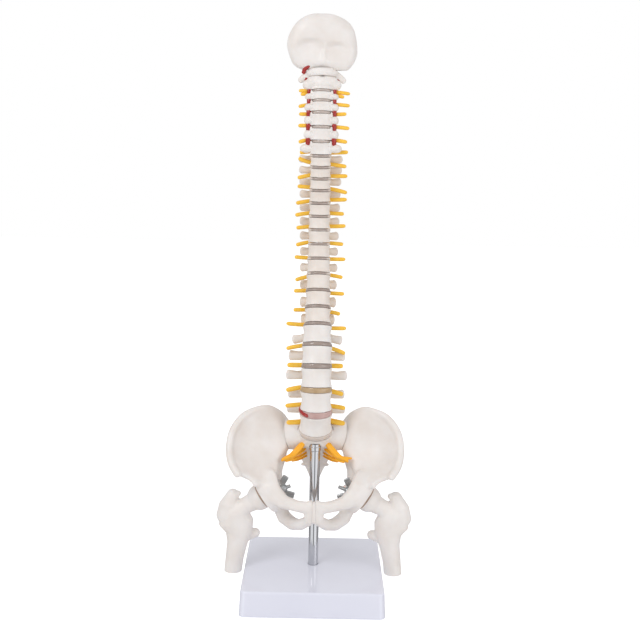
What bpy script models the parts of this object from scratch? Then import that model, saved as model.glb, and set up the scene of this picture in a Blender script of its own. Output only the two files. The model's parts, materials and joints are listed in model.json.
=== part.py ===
"""Half-size anatomy model of the human spine on a stand.

A square base carries a steel rod. The sacrum sits on the rod, with a hip bone on each side.
Twenty-four vertebrae with soft discs stand on the sacrum and end in the occipital bone.
Each short femur hangs on a bolt through its hip socket, held by a wing nut inside the pelvis.
X runs to the right, Y to the back, Z up. Lengths are in metres, angles in degrees.
"""

import math

import bmesh
import bpy
from mathutils import Matrix, Vector

for old in list(bpy.data.objects):
    bpy.data.objects.remove(old, do_unlink=True)

GAP = 0.0003  # clearance between pieces that touch

# Stand
BASE_SIDE = 0.112
BASE_HEIGHT = 0.020
BASE_DRAFT = 0.001  # how far each side leans in at the top
BASE_CORNER = 0.004
BASE_EDGE = 0.002
ROD_RADIUS = 0.004
ROD_SEAT = 0.012  # depth of the rod's socket in the base
ROD_TOP = 0.1212
COLLAR_RADIUS = 0.0046
COLLAR_LOW = 0.1155
COLLAR_HEIGHT = 0.0036

# The column. Vertebrae are numbered upwards from L5, and level n is the disc under number n.
NAMES = (
    [f"L{n}" for n in range(5, 0, -1)]
    + [f"T{n}" for n in range(12, 0, -1)]
    + [f"C{n}" for n in range(7, 0, -1)]
)
AXIS = NAMES.index("C2")
ATLAS = NAMES.index("C1")
FIRST_CERVICAL = NAMES.index("C7")
FIRST_THORACIC = NAMES.index("T12")
COLUMN_BACK = 0.003  # centre of the lowest disc
COLUMN_FOOT = 0.1312
# Each list below gives (number, value) pairs, with straight runs between them.
PITCH = (
    (0, 0.0185), (2, 0.0178), (3, 0.0166), (4, 0.0162), (5, 0.0136), (7, 0.0134), (8, 0.0122),
    (10, 0.0113), (12, 0.0104), (13, 0.0101), (14, 0.0092), (16, 0.0087), (17, 0.0108),
    (19, 0.0108), (20, 0.0089), (21, 0.0079), (22, 0.0110), (23, 0.0057),
)
LEAN = (
    (0, 31), (1, 9), (2, -5), (3, -13), (4, -19), (6, -19), (8, -14), (10, -6), (12, 0),
    (14, 4), (16, 7), (17, 5), (19, -3), (21, -13), (22, -13), (24, -8),
)
DISC = ((0, 0.0032), (1, 0.0034), (3, 0.0030), (5, 0.0022), (8, 0.0019), (17, 0.0017), (24, 0.0015))
HALF_WIDTH = (
    (0, 0.0133), (1, 0.0127), (3, 0.0122), (4, 0.0117), (5, 0.0106), (7, 0.0098), (9, 0.0091),
    (12, 0.0086), (16, 0.0084), (17, 0.0080), (21, 0.0071),
)
HALF_DEPTH = ((0, 0.0105), (3, 0.0100), (5, 0.0092), (8, 0.0080), (12, 0.0070), (16, 0.0062), (21, 0.0056))
CANAL = ((0, 0.0040), (5, 0.0034), (12, 0.0031), (17, 0.0036), (22, 0.0038))
WING_REACH = (
    (0, 0.0240), (1, 0.0232), (2, 0.0250), (3, 0.0232), (4, 0.0207), (5, 0.0140), (6, 0.0150),
    (9, 0.0158), (14, 0.0170), (16, 0.0178), (17, 0.0155), (18, 0.0128), (22, 0.0124),
)
WING_BACK = ((0, 0.001), (4, 0.001), (5, 0.003), (10, 0.0045), (16, 0.004), (17, 0.0))
WING_RISE = ((0, 0.0010), (4, 0.0010), (5, 0.0), (10, 0.0008), (16, 0.0), (17, -0.0008))
WING_HALF_HEIGHT = (
    (0, 0.0038), (4, 0.0038), (5, 0.0036), (8, 0.0035), (16, 0.0031), (17, 0.0031),
)
SPINE_REACH = (
    (0, 0.0100), (3, 0.0125), (5, 0.0120), (8, 0.0125), (12, 0.0140), (16, 0.0135), (17, 0.0125),
    (18, 0.0090), (21, 0.0065), (22, 0.0085),
)
SPINE_DROP = ((0, 6), (4, 8), (6, 22), (9, 42), (12, 52), (15, 40), (17, 24), (22, 18))
SPINE_HALF_HEIGHT = ((0, 0.0030), (1, 0.0034), (4, 0.0036), (6, 0.0024), (9, 0.0018), (17, 0.0017), (22, 0.0020))
SPINE_HALF_THICK = 0.0014
NERVE_REACH = ((0, 0.0235), (4, 0.0232), (6, 0.0200), (23, 0.0200))
NERVE_RADIUS = 0.0014
NERVE_LIFT = ((0, 0.0046), (1, 0.0004))
WAIST = 0.90  # middle of a vertebral body against its ends
DISC_BULGE = 1.03  # disc against the body's ends
WEDGE_SHARE = 0.5  # share of the bend that lies in the discs
SACRAL_LEAN = 36
ARTERY_RADIUS = 0.0015
DENS_RADIUS = 0.0020
DENS_HEIGHT = 0.0034

# Occipital bone
SKULL_HALF_WIDTH = 0.0262
SKULL_HALF_DEPTH = 0.0100
SKULL_HALF_HEIGHT = 0.0205
SKULL_RISE = 0.0205  # centre above the top of the atlas
SKULL_ROLL = 5
SKULL_BACK = 0.0015
SKULL_FRONT = 0.0080  # the flattened inner side, in front of the centre
FOSSA_SIDE = 0.0090
FOSSA_DROP = 0.0068
FOSSA_DEPTH = 0.0024

# Hip joints and pubis
HIP_OUT = 0.0430
HIP_BACK = -0.0090
HIP_RISE = 0.0790
HIP_LEAN = 22  # how far the hip bolt drops towards the outside
RIM_LEAN = 32
RIM_INWARD = 0.0030  # the socket's rim, inward of the head's centre
HEAD_RADIUS = 0.0104
SOCKET_PLAY = 0.0008
SOCKET_WALL = 0.0048
SYMPHYSIS_THICK = 0.0024
SYMPHYSIS_HEIGHT = 0.0150
SYMPHYSIS_DEPTH = 0.0082
PUBIS_BACK = -0.0255
PUBIS_RISE = 0.0745

# Bolts and wing nuts
BOLT_RADIUS = 0.0015
BOLT_REACH = 0.0228  # free end of the bolt, from the head's centre
BOLT_GRIP = 0.0050  # how far past the centre the bolt goes
NUT_RADIUS = 0.0032
NUT_HEIGHT = 0.0042
NUT_WING_REACH = 0.0112
NUT_WING_THICK = 0.0018
NUT_WING_WIDE = 0.0050
NUT_WING_LEAN = 39  # between the bolt and a wing


def mm(x, y, z):
    """A point given in millimetres."""
    return Vector((x, y, z)) / 1000


def at(keys, number):
    """The value of a list of (number, value) pairs at this number."""
    if number <= keys[0][0]:
        return keys[0][1]
    for (low, first), (high, second) in zip(keys, keys[1:]):
        if number <= high:
            return first + (second - first) * (number - low) / (high - low)
    return keys[-1][1]


def material(name, colour, roughness, metallic=0.0):
    made = bpy.data.materials.new(name)
    made.use_nodes = True
    shader = made.node_tree.nodes["Principled BSDF"]
    shader.inputs["Base Color"].default_value = (*colour, 1.0)
    shader.inputs["Roughness"].default_value = roughness
    shader.inputs["Metallic"].default_value = metallic
    made.diffuse_color = (*colour, 1.0)
    return made


BONE = material("bone_pvc", (0.81, 0.76, 0.72), 0.5)
BASE_PLASTIC = material("base_plastic", (0.72, 0.73, 0.80), 0.15)
CHROME = material("chromed_steel", (0.70, 0.70, 0.71), 0.12, 1.0)
ZINC = material("zinc_plate", (0.42, 0.43, 0.44), 0.4, 1.0)
DISC_RUBBER = material("disc_rubber", (0.38, 0.30, 0.26), 0.35)
CARTILAGE = material("cartilage", (0.78, 0.74, 0.70), 0.45)


def mesh_object(name, bm, look):
    mesh = bpy.data.meshes.new(name)
    bm.to_mesh(mesh)
    bm.free()
    obj = bpy.data.objects.new(name, mesh)
    bpy.context.collection.objects.link(obj)
    obj.data.materials.append(look)
    return obj


def bake(obj):
    """Applies the object's modifiers, so that later steps start from the result."""
    graph = bpy.context.evaluated_depsgraph_get()
    mesh = bpy.data.meshes.new_from_object(obj.evaluated_get(graph))
    obj.modifiers.clear()
    obj.data = mesh


def combine(obj, tool, operation):
    """Joins the tool to the object or cuts it away, and removes the tool."""
    cut = obj.modifiers.new(operation.lower(), "BOOLEAN")
    cut.operation = operation
    cut.object = tool
    cut.solver = "EXACT"
    bake(obj)
    bpy.data.objects.remove(tool, do_unlink=True)


def shade(obj):
    obj.data.shade_smooth()
    obj.data.set_sharp_from_angle(angle=math.radians(38))


def seat(obj, origin, lean=0.0):
    """Moves the object's origin to a joint's axis, leaving its shape where it is."""
    place = Matrix.Translation(origin) @ Matrix.Rotation(math.radians(lean), 4, "X")
    obj.data.transform(place.inverted())
    obj.matrix_world = place
    shade(obj)


def add_rings(bm, rings):
    """A closed skin over rings of points."""
    rows = [[bm.verts.new(p) for p in ring] for ring in rings]
    count = len(rows[0])
    for low, high in zip(rows, rows[1:]):
        for i in range(count):
            j = (i + 1) % count
            bm.faces.new((low[i], low[j], high[j], high[i]))
    bm.faces.new(rows[0][::-1])
    bm.faces.new(rows[-1])


def ellipse(centre, side, other, wide, thick, count, turn=0.0):
    angles = [turn + 2 * math.pi * i / count for i in range(count)]
    return [centre + side * (wide * math.cos(a)) + other * (thick * math.sin(a)) for a in angles]


def add_limb(bm, stations, side=(1, 0, 0), count=12):
    """A bar with domed ends through (point, half width along side, half thickness) stations."""
    points = [Vector(s[0]) for s in stations]
    ways = []
    for i in range(len(points)):
        ways.append((points[min(i + 1, len(points) - 1)] - points[max(i - 1, 0)]).normalized())
    rings = []

    def ring(point, way, wide, thick):
        across = (Vector(side) - way * way.dot(Vector(side))).normalized()
        rings.append(ellipse(point, across, way.cross(across), wide, thick, count))

    def dome(index, sign):
        wide, thick = stations[index][1:]
        tip = min(wide, thick)
        for bend in (80, 50, 25) if sign < 0 else (25, 50, 80):
            a = math.radians(bend)
            centre = points[index] + ways[index] * (sign * tip * math.sin(a))
            ring(centre, ways[index], wide * math.cos(a), thick * math.cos(a))

    dome(0, -1)
    for point, way, station in zip(points, ways, stations):
        ring(point, way, station[1], station[2])
    dome(len(points) - 1, 1)
    add_rings(bm, rings)


def add_ball(bm, centre, radii, count=20):
    place = Matrix.LocRotScale(Vector(centre), None, Vector(radii))
    bmesh.ops.create_uvsphere(bm, u_segments=count, v_segments=count * 2 // 3, radius=1, matrix=place)


def add_sheet(bm, rows, thick):
    """A curved plate: a net of points, smoothed and given a thickness."""
    net = bmesh.new()
    grid = [[net.verts.new(p) for p in row] for row in rows]
    for low, high in zip(grid, grid[1:]):
        for i in range(len(low) - 1):
            net.faces.new((low[i], low[i + 1], high[i + 1], high[i]))
    plate = mesh_object("plate", net, BONE)
    smooth = plate.modifiers.new("round", "SUBSURF")
    smooth.levels = smooth.render_levels = 2
    wall = plate.modifiers.new("wall", "SOLIDIFY")
    wall.thickness = thick
    wall.offset = 0
    bake(plate)
    bm.from_mesh(plate.data)
    bpy.data.objects.remove(plate, do_unlink=True)


def fused(name, bm, grain, passes, triangles, look=BONE):
    """Overlapping shapes moulded into one skin, eased, and thinned to about this many triangles."""
    bmesh.ops.recalc_face_normals(bm, faces=bm.faces)
    obj = mesh_object(name, bm, look)
    skin = obj.modifiers.new("skin", "REMESH")
    skin.mode = "VOXEL"
    skin.voxel_size = grain
    ease = obj.modifiers.new("ease", "SMOOTH")
    ease.factor = 0.5
    ease.iterations = passes
    obj.modifiers.new("faces", "TRIANGULATE")
    bake(obj)
    thin = obj.modifiers.new("thin", "DECIMATE")
    thin.ratio = triangles / len(obj.data.polygons)
    bake(obj)
    obj.data.materials.clear()
    obj.data.materials.append(look)
    return obj


def box_tool(low, high):
    bm = bmesh.new()
    centre = (Vector(low) + Vector(high)) / 2
    place = Matrix.LocRotScale(centre, None, Vector(high) - Vector(low))
    bmesh.ops.create_cube(bm, size=1, matrix=place)
    return mesh_object("tool", bm, BONE)


def rod_tool(start, end, radius, count=16):
    bm = bmesh.new()
    way = (Vector(end) - Vector(start)).normalized()
    side = way.orthogonal().normalized()
    other = way.cross(side)
    add_rings(bm, [ellipse(Vector(p), side, other, radius, radius, count) for p in (start, end)])
    return mesh_object("tool", bm, BONE)


# Layout of the column: where each level lies, and how each piece leans.
def mean_lean(number):
    """Lean of a vertebra, or of the sacrum for number -1."""
    if number < 0:
        return SACRAL_LEAN
    return (at(LEAN, number) + at(LEAN, number + 1)) / 2


def up_way(lean):
    return Vector((0, -math.sin(math.radians(lean)), math.cos(math.radians(lean))))


def back_way(lean):
    return Vector((0, math.cos(math.radians(lean)), math.sin(math.radians(lean))))


LEVELS = [Vector((0, COLUMN_BACK, COLUMN_FOOT))]
for number in range(len(NAMES)):
    LEVELS.append(LEVELS[-1] + up_way(mean_lean(number)) * at(PITCH, number))


def disc_faces(level):
    """Lean of a disc's lower and upper face."""
    above = mean_lean(level) if level < len(NAMES) else at(LEAN, level)
    bend = WEDGE_SHARE * (mean_lean(level - 1) - above) / 2
    return at(LEAN, level) + bend, at(LEAN, level) - bend


def body_ring(level, over, scale, count, gap):
    """Ring on a disc's upper side (over = 1) or lower side (over = -1)."""
    lean = disc_faces(level)[0 if over < 0 else 1]
    number = min(level, AXIS) if over > 0 else max(level - 1, 0)
    centre = LEVELS[level] + up_way(lean) * (over * (at(DISC, level) / 2 + gap))
    wide = at(HALF_WIDTH, number) * scale
    deep = at(HALF_DEPTH, number) * scale
    return ellipse(centre, Vector((1, 0, 0)), back_way(lean), wide, deep, count)


def make_disc(level, count=12):
    bm = bmesh.new()
    low = body_ring(level, -1, DISC_BULGE, count, 0)
    high = body_ring(level, 1, DISC_BULGE, count, 0)
    add_rings(bm, [low, high])
    bmesh.ops.recalc_face_normals(bm, faces=bm.faces)
    below = NAMES[level - 1] if level else "S1"
    disc = mesh_object(f"disc_{below}_{NAMES[level]}", bm, DISC_RUBBER)
    seat(disc, LEVELS[level], at(LEAN, level))


def drum(number, count=12):
    """The vertebral body, with flat ends that match its discs."""
    low = body_ring(number, 1, 1.0, count, GAP)
    high = body_ring(number + 1, -1, 1.0, count, GAP)
    middle = [(a + b) / 2 for a, b in zip(low, high)]
    centre = sum(middle, Vector()) / count
    waist = [centre + (p - centre) * WAIST for p in middle]
    rings = [low, waist, high]
    if number >= FIRST_CERVICAL:
        spread = at(WING_REACH, number) / at(HALF_WIDTH, number)
        rings = [low]
        for share in (0.3, 0.7):
            ring = [a.lerp(b, share) for a, b in zip(low, high)]
            core = sum(ring, Vector()) / count
            rings.append([core + Vector(((p - core).x * spread, *((p - core) * WAIST).yz)) for p in ring])
        rings.append(high)
    bm = bmesh.new()
    add_rings(bm, rings)
    bmesh.ops.recalc_face_normals(bm, faces=bm.faces)
    return mesh_object("drum", bm, BONE), centre


class Frame:
    """Local directions of one vertebra: out to a side, back and up, from the middle of its body."""

    def __init__(self, number, centre):
        self.centre = centre
        self.up = up_way(mean_lean(number))
        self.back = back_way(mean_lean(number))

    def point(self, out, back, up):
        return self.centre + Vector((out, 0, 0)) + self.back * back + self.up * up


def add_arch(bm, number, frame):
    """Pedicles, laminae, processes and the two nerve roots behind one vertebral body."""
    wide, deep = at(HALF_WIDTH, number), at(HALF_DEPTH, number)
    half = (at(PITCH, number) - at(DISC, number)) / 2
    disc = at(DISC, number)
    canal = at(CANAL, number)
    size = min(wide / 0.009, 1.25)  # bones of a wider vertebra are stouter
    middle = deep + canal * 0.85
    unit = 0.001 * size
    point = frame.point
    cervical = number >= FIRST_CERVICAL
    lamina = half * (0.60 if number >= FIRST_THORACIC else 0.42)
    hook = half + disc * (0.9 if number >= FIRST_THORACIC else -0.4)
    peak = half + disc * (0.8 if number >= FIRST_THORACIC else 0.2)
    for s in (-1, 1):
        add_limb(bm, [
            (point(s * wide * 0.6, deep * 0.6, half * 0.35), 1.7 * unit, half * 0.42),
            (point(s * (canal + 1.7 * unit), middle, half * 0.3), 1.6 * unit, half * 0.42),
        ])
        add_limb(bm, [
            (point(s * (canal + 1.7 * unit), middle, half * 0.25), lamina, 1.4 * unit),
            (point(s * (canal + 0.9 * unit), middle + (canal + unit) * 0.7, 0), lamina, 1.4 * unit),
            (point(0, middle + canal + 1.6 * unit, -half * 0.25), lamina, 1.4 * unit),
        ], side=frame.up)
        if not cervical:
            tall = at(WING_HALF_HEIGHT, number)
            thick = 0.0022 if number >= FIRST_THORACIC else 0.0018
            reach = at(WING_REACH, number) - 0.0015 - thick * 0.4
            back = middle + at(WING_BACK, number)
            rise = at(WING_RISE, number)
            add_limb(bm, [
                (point(s * (canal + unit), middle + 0.6 * unit, half * 0.2), tall * 0.9, thick),
                (point(s * reach * 0.7, (middle + back) / 2, rise * 0.6), tall * 0.9, thick),
                (point(s * reach, back, rise), tall, thick),
            ], side=frame.up)
        add_limb(bm, [
            (point(s * (canal + 2.9 * unit), middle + 2.4 * unit, 0), 1.5 * unit, 1.5 * unit),
            (point(s * (canal + 2.9 * unit), middle + 2.4 * unit, peak), 1.4 * unit, 1.3 * unit),
        ])
        add_limb(bm, [
            (point(s * (canal + 0.5 * unit), middle + 4.2 * unit, 0), 1.5 * unit, 1.4 * unit),
            (point(s * (canal + 0.3 * unit), middle + 5.4 * unit, -hook), 1.3 * unit, 1.2 * unit),
        ])
    drop = math.radians(at(SPINE_DROP, number))
    reach = at(SPINE_REACH, number)
    root = middle + canal + 1.2 * unit
    tall = at(SPINE_HALF_HEIGHT, number)
    add_limb(bm, [
        (point(0, root, -half * 0.2), SPINE_HALF_THICK, tall),
        (point(0, root + reach * 0.5, -half * 0.2 - reach * 0.5 * math.tan(drop) * 0.8),
         SPINE_HALF_THICK, tall),
        (point(0, root + reach * math.cos(drop), -half * 0.2 - reach * math.sin(drop)),
         SPINE_HALF_THICK * 1.25, tall),
    ])


def add_tube(bm, points, radius, count=6):
    """A round bar of one thickness along a bent path, with flat ends."""
    rings = []
    for i, point in enumerate(points):
        way = (points[min(i + 1, len(points) - 1)] - points[max(i - 1, 0)]).normalized()
        side = way.cross(Vector((0, 1, 0))).normalized()
        rings.append(ellipse(point, side, way.cross(side), radius, radius, count))
    add_rings(bm, rings)


def nerve_tubes(number, frame):
    """The nerves that leave beside each body, level with the disc below."""
    wide, deep = at(HALF_WIDTH, number), at(HALF_DEPTH, number)
    half = at(PITCH, number) / 2
    low = at(DISC, number) / 2 + GAP + NERVE_RADIUS + 0.0014 - half
    lift = at(NERVE_LIFT, number)
    back = deep * 0.6 if number == 0 else deep + 0.0012
    tip = at(NERVE_REACH, number)
    bm = bmesh.new()
    for s in (-1, 1):
        add_tube(bm, [
            frame.point(s * wide * 0.4, deep * 0.8, low + lift), frame.point(s * tip, back, lift - half),
        ], NERVE_RADIUS)
        if number == AXIS:
            add_tube(bm, [
                frame.point(s * wide * 0.9, deep * 0.2, low + 0.0016),
                frame.point(s * (tip - 0.001), deep - 0.0034, low - 0.0008),
            ], NERVE_RADIUS)
    bmesh.ops.recalc_face_normals(bm, faces=bm.faces)
    return mesh_object("nerves", bm, BONE)


def make_vertebra(number):
    drum_part, centre = drum(number)
    frame = Frame(number, centre)
    bm = bmesh.new()
    add_arch(bm, number, frame)
    if number == AXIS:
        half = at(PITCH, number) / 2
        top = frame.point(0, -0.0008, half + DENS_HEIGHT)
        add_limb(bm, [(frame.point(0, -0.0008, 0), 0.0026, 0.0026), (top, DENS_RADIUS, DENS_RADIUS)])
        for s in (-1, 1):
            add_ball(bm, frame.point(s * 0.0060, 0.0005, 0.0012), (0.0052, 0.0042, 0.0040))
    bone = fused(f"vertebra_{NAMES[number]}", bm, 0.0006, 2, 78 if number >= FIRST_CERVICAL else 88)
    combine(bone, drum_part, "UNION")
    combine(bone, nerve_tubes(number, frame), "UNION")
    bone.data.materials.clear()
    bone.data.materials.append(BONE)
    seat(bone, LEVELS[number], mean_lean(number))


def make_atlas():
    """C1: a ring around the dens, with long drooping wings and a bend of the left artery."""
    lean = mean_lean(ATLAS)
    centre = (LEVELS[ATLAS] + LEVELS[ATLAS + 1]) / 2
    frame = Frame(ATLAS, centre)
    bm = bmesh.new()
    for s in (-1, 1):
        add_ball(bm, frame.point(s * 0.0076, 0.0005, 0), (0.0038, 0.0044, 0.0022))
        add_limb(bm, [
            (frame.point(s * 0.008, 0.001, -0.0004), 0.0018, 0.0017),
            (frame.point(s * 0.0130, 0.0020, -0.0030), 0.0017, 0.0014),
            (frame.point(s * 0.0163, 0.0025, -0.0052), 0.0020, 0.0017),
        ], side=frame.up)
    for reach, tall in ((-0.0054, 0.0021), (0.0122, 0.0017)):
        arc = []
        for step in range(9):
            a = math.pi * step / 8
            arc.append((frame.point(0.0070 * math.cos(a), reach * math.sin(a), 0), tall, 0.0014))
        add_limb(bm, arc, side=frame.up)
    add_limb(bm, [
        (frame.point(-0.0125, 0.0005, -0.0030), ARTERY_RADIUS, ARTERY_RADIUS),
        (frame.point(-0.0140, -0.0045, -0.0010), ARTERY_RADIUS, ARTERY_RADIUS),
        (frame.point(-0.0115, -0.0075, 0.0030), ARTERY_RADIUS, ARTERY_RADIUS),
    ])
    bone = fused("vertebra_C1", bm, 0.0005, 2, 226)
    seat(bone, LEVELS[ATLAS], lean)


def make_occiput():
    """The occipital bone: a thick plate whose inner side, to the front, has two hollows and a crest."""
    foot = LEVELS[-1]
    centre = foot + Vector((0, SKULL_BACK, SKULL_RISE))
    turn = Matrix.Translation(centre) @ Matrix.Rotation(math.radians(SKULL_ROLL), 4, "Y")
    bm = bmesh.new()
    add_ball(bm, (0, 0, 0), (SKULL_HALF_WIDTH, SKULL_HALF_DEPTH, SKULL_HALF_HEIGHT), 32)
    add_ball(bm, (0, -0.001, 0), (SKULL_HALF_WIDTH * 0.90, SKULL_HALF_DEPTH * 1.0, SKULL_HALF_HEIGHT * 0.92), 32)
    for s in (-1, 1):
        add_ball(bm, (s * 0.0118, 0.0005, -0.0106), (0.0122, SKULL_HALF_DEPTH * 0.86, 0.0094), 24)
        add_limb(bm, [
            (Vector((s * 0.0070, 0, -0.012)), 0.0030, 0.0040),
            (Vector((s * 0.0068, 0, -SKULL_RISE + 0.0030)), 0.0026, 0.0034),
        ])
    skull = fused("occipital_bone", bm, 0.0008, 4, 9000)
    combine(skull, box_tool((-0.04, -0.04, -0.03), (0.04, -SKULL_FRONT, 0.03)), "DIFFERENCE")
    for s in (-1, 1):
        pit = bmesh.new()
        deep = 0.0060
        add_ball(pit, (s * FOSSA_SIDE, -SKULL_FRONT + FOSSA_DEPTH - deep, -FOSSA_DROP),
                 (0.0104, deep, 0.0104), 24)
        combine(skull, mesh_object("pit", pit, BONE), "DIFFERENCE")
    bm = bmesh.new()
    bm.from_mesh(skull.data)
    bpy.data.objects.remove(skull, do_unlink=True)
    skull = fused("occipital_bone", bm, 0.0007, 6, 380)
    skull.data.transform(turn)
    combine(skull, box_tool(foot + Vector((-0.03, -0.03, -0.02)), foot + Vector((0.03, 0.03, GAP / 2))),
            "DIFFERENCE")
    seat(skull, foot)


def joint_block(s, side, low):
    """A block on the outer (1) or inner (-1) side of the flat joint between sacrum and hip bone."""
    way = Vector((s, 0.30, -0.197)).normalized()
    back = Vector((-way.y * s, way.x * s, 0)).normalized()
    up = way.cross(back) * s
    high = 0.160
    thick = 0.040
    middle = mm(s * 25.2, 8, 136) + way * (side * thick / 2 + (GAP if side < 0 else 0))
    middle += back * 0.009 + up * ((high + low) / 2 - 0.136)
    turn = Matrix((way, back, up)).transposed().to_4x4()
    size = Matrix.LocRotScale(None, None, (thick, 0.070, high - low))
    bm = bmesh.new()
    bmesh.ops.create_cube(bm, size=1, matrix=Matrix.Translation(middle) @ turn @ size)
    bmesh.ops.recalc_face_normals(bm, faces=bm.faces)
    return mesh_object("block", bm, BONE)


def make_sacrum():
    """Sacrum and coccyx in one, with the sacral nerves on the front."""
    lean = disc_faces(0)[0]
    top = LEVELS[0] - up_way(lean) * (at(DISC, 0) / 2 + GAP)
    down, back = -up_way(lean), back_way(lean)
    bm = bmesh.new()
    add_limb(bm, [
        (top + down * 0.0065, 0.0155, 0.0080), (mm(0, 14, 117), 0.0170, 0.0072),
        (mm(0, 20, 107), 0.0142, 0.0055), (mm(0, 22, 98), 0.0098, 0.0042),
        (mm(0, 20, 90), 0.0056, 0.0030), (mm(0, 16.5, 85.0), 0.0032, 0.0022),
    ], count=16)
    for s in (-1, 1):
        add_limb(bm, [
            (mm(s * 6, 10, 126), 0.0080, 0.0070), (mm(s * 17, 12, 127.5), 0.0078, 0.0070),
            (mm(s * 30, 17, 129.5), 0.0085, 0.0075),
        ], side=(0, 0, 1))
        add_limb(bm, [
            (mm(s * 5, 11, 119), 0.0085, 0.0078), (mm(s * 16, 10, 121), 0.0095, 0.0080),
            (mm(s * 27, 11, 122), 0.0100, 0.0085),
        ], side=(0, 0, 1))
        add_limb(bm, [
            (top + back * 0.0120 + Vector((s * 0.0088, 0, 0)) + down * 0.010, 0.0030, 0.0026),
            (top + back * 0.0155 + Vector((s * 0.0088, 0, 0)) - down * 0.0010, 0.0022, 0.0018),
        ])
        add_limb(bm, [
            (mm(s * 13, 5, 117.5), 0.0026, 0.0022), (mm(s * 19, -1, 112), 0.0022, 0.0018),
            (mm(s * 25, -6, 107), 0.0015, 0.0015),
        ])
        add_limb(bm, [
            (mm(s * 7, 14, 108), 0.0022, 0.0020), (mm(s * 15, 4, 106.5), 0.0019, 0.0017),
            (mm(s * 25, -6, 106.5), 0.0015, 0.0015),
        ])
    add_limb(bm, [
        (mm(0, 19, 126), 0.0020, 0.0040), (mm(0, 26, 112), 0.0018, 0.0030), (mm(0, 25, 99), 0.0014, 0.002),
    ])
    sacrum = fused("sacrum", bm, 0.0008, 3, 380)
    ring = body_ring(0, -1, 1.0, 12, GAP)
    above = bmesh.new()
    wide = ellipse(top, Vector((1, 0, 0)), back, 0.018, 0.0118, 16)
    add_rings(above, [wide, [p - down * 0.014 for p in wide]])
    bmesh.ops.recalc_face_normals(above, faces=above.faces)
    combine(sacrum, mesh_object("above", above, BONE), "DIFFERENCE")
    pocket = bmesh.new()
    wide = ellipse(top + back * 0.0180 + down * 0.009, Vector((1, 0, 0)), back, 0.0074, 0.0080, 12)
    add_rings(pocket, [wide, [p - down * 0.030 for p in wide]])
    bmesh.ops.recalc_face_normals(pocket, faces=pocket.faces)
    combine(sacrum, mesh_object("pocket", pocket, BONE), "DIFFERENCE")
    stub = bmesh.new()
    add_rings(stub, [ring, [p + down * 0.008 for p in ring]])
    bmesh.ops.recalc_face_normals(stub, faces=stub.faces)
    combine(sacrum, mesh_object("stub", stub, BONE), "UNION")
    combine(sacrum, rod_tool((0, 0, 0.09), (0, 0, ROD_TOP + GAP), ROD_RADIUS + GAP, 14), "DIFFERENCE")
    collar_top = COLLAR_LOW + COLLAR_HEIGHT + GAP
    combine(sacrum, rod_tool((0, 0, 0.09), (0, 0, collar_top), COLLAR_RADIUS + GAP, 14), "DIFFERENCE")
    for s in (-1, 1):
        combine(sacrum, joint_block(s, 1, 0.110), "DIFFERENCE")
    sacrum.data.materials.clear()
    sacrum.data.materials.append(BONE)
    shade(sacrum)


def hip_centre(s):
    return Vector((s * HIP_OUT, HIP_BACK, HIP_RISE))


def hip_axis(s):
    """The way of the hip bolt, outwards and down."""
    lean = math.radians(HIP_LEAN)
    return Vector((s * math.cos(lean), 0, -math.sin(lean)))


def add_cone(bm, start, way, stations, count):
    """Round sections (distance along, radius) about an axis."""
    side = Vector((0, 1, 0))
    other = way.cross(side)
    add_rings(bm, [ellipse(start + way * d, side, other, r, r, count) for d, r in stations])


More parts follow.
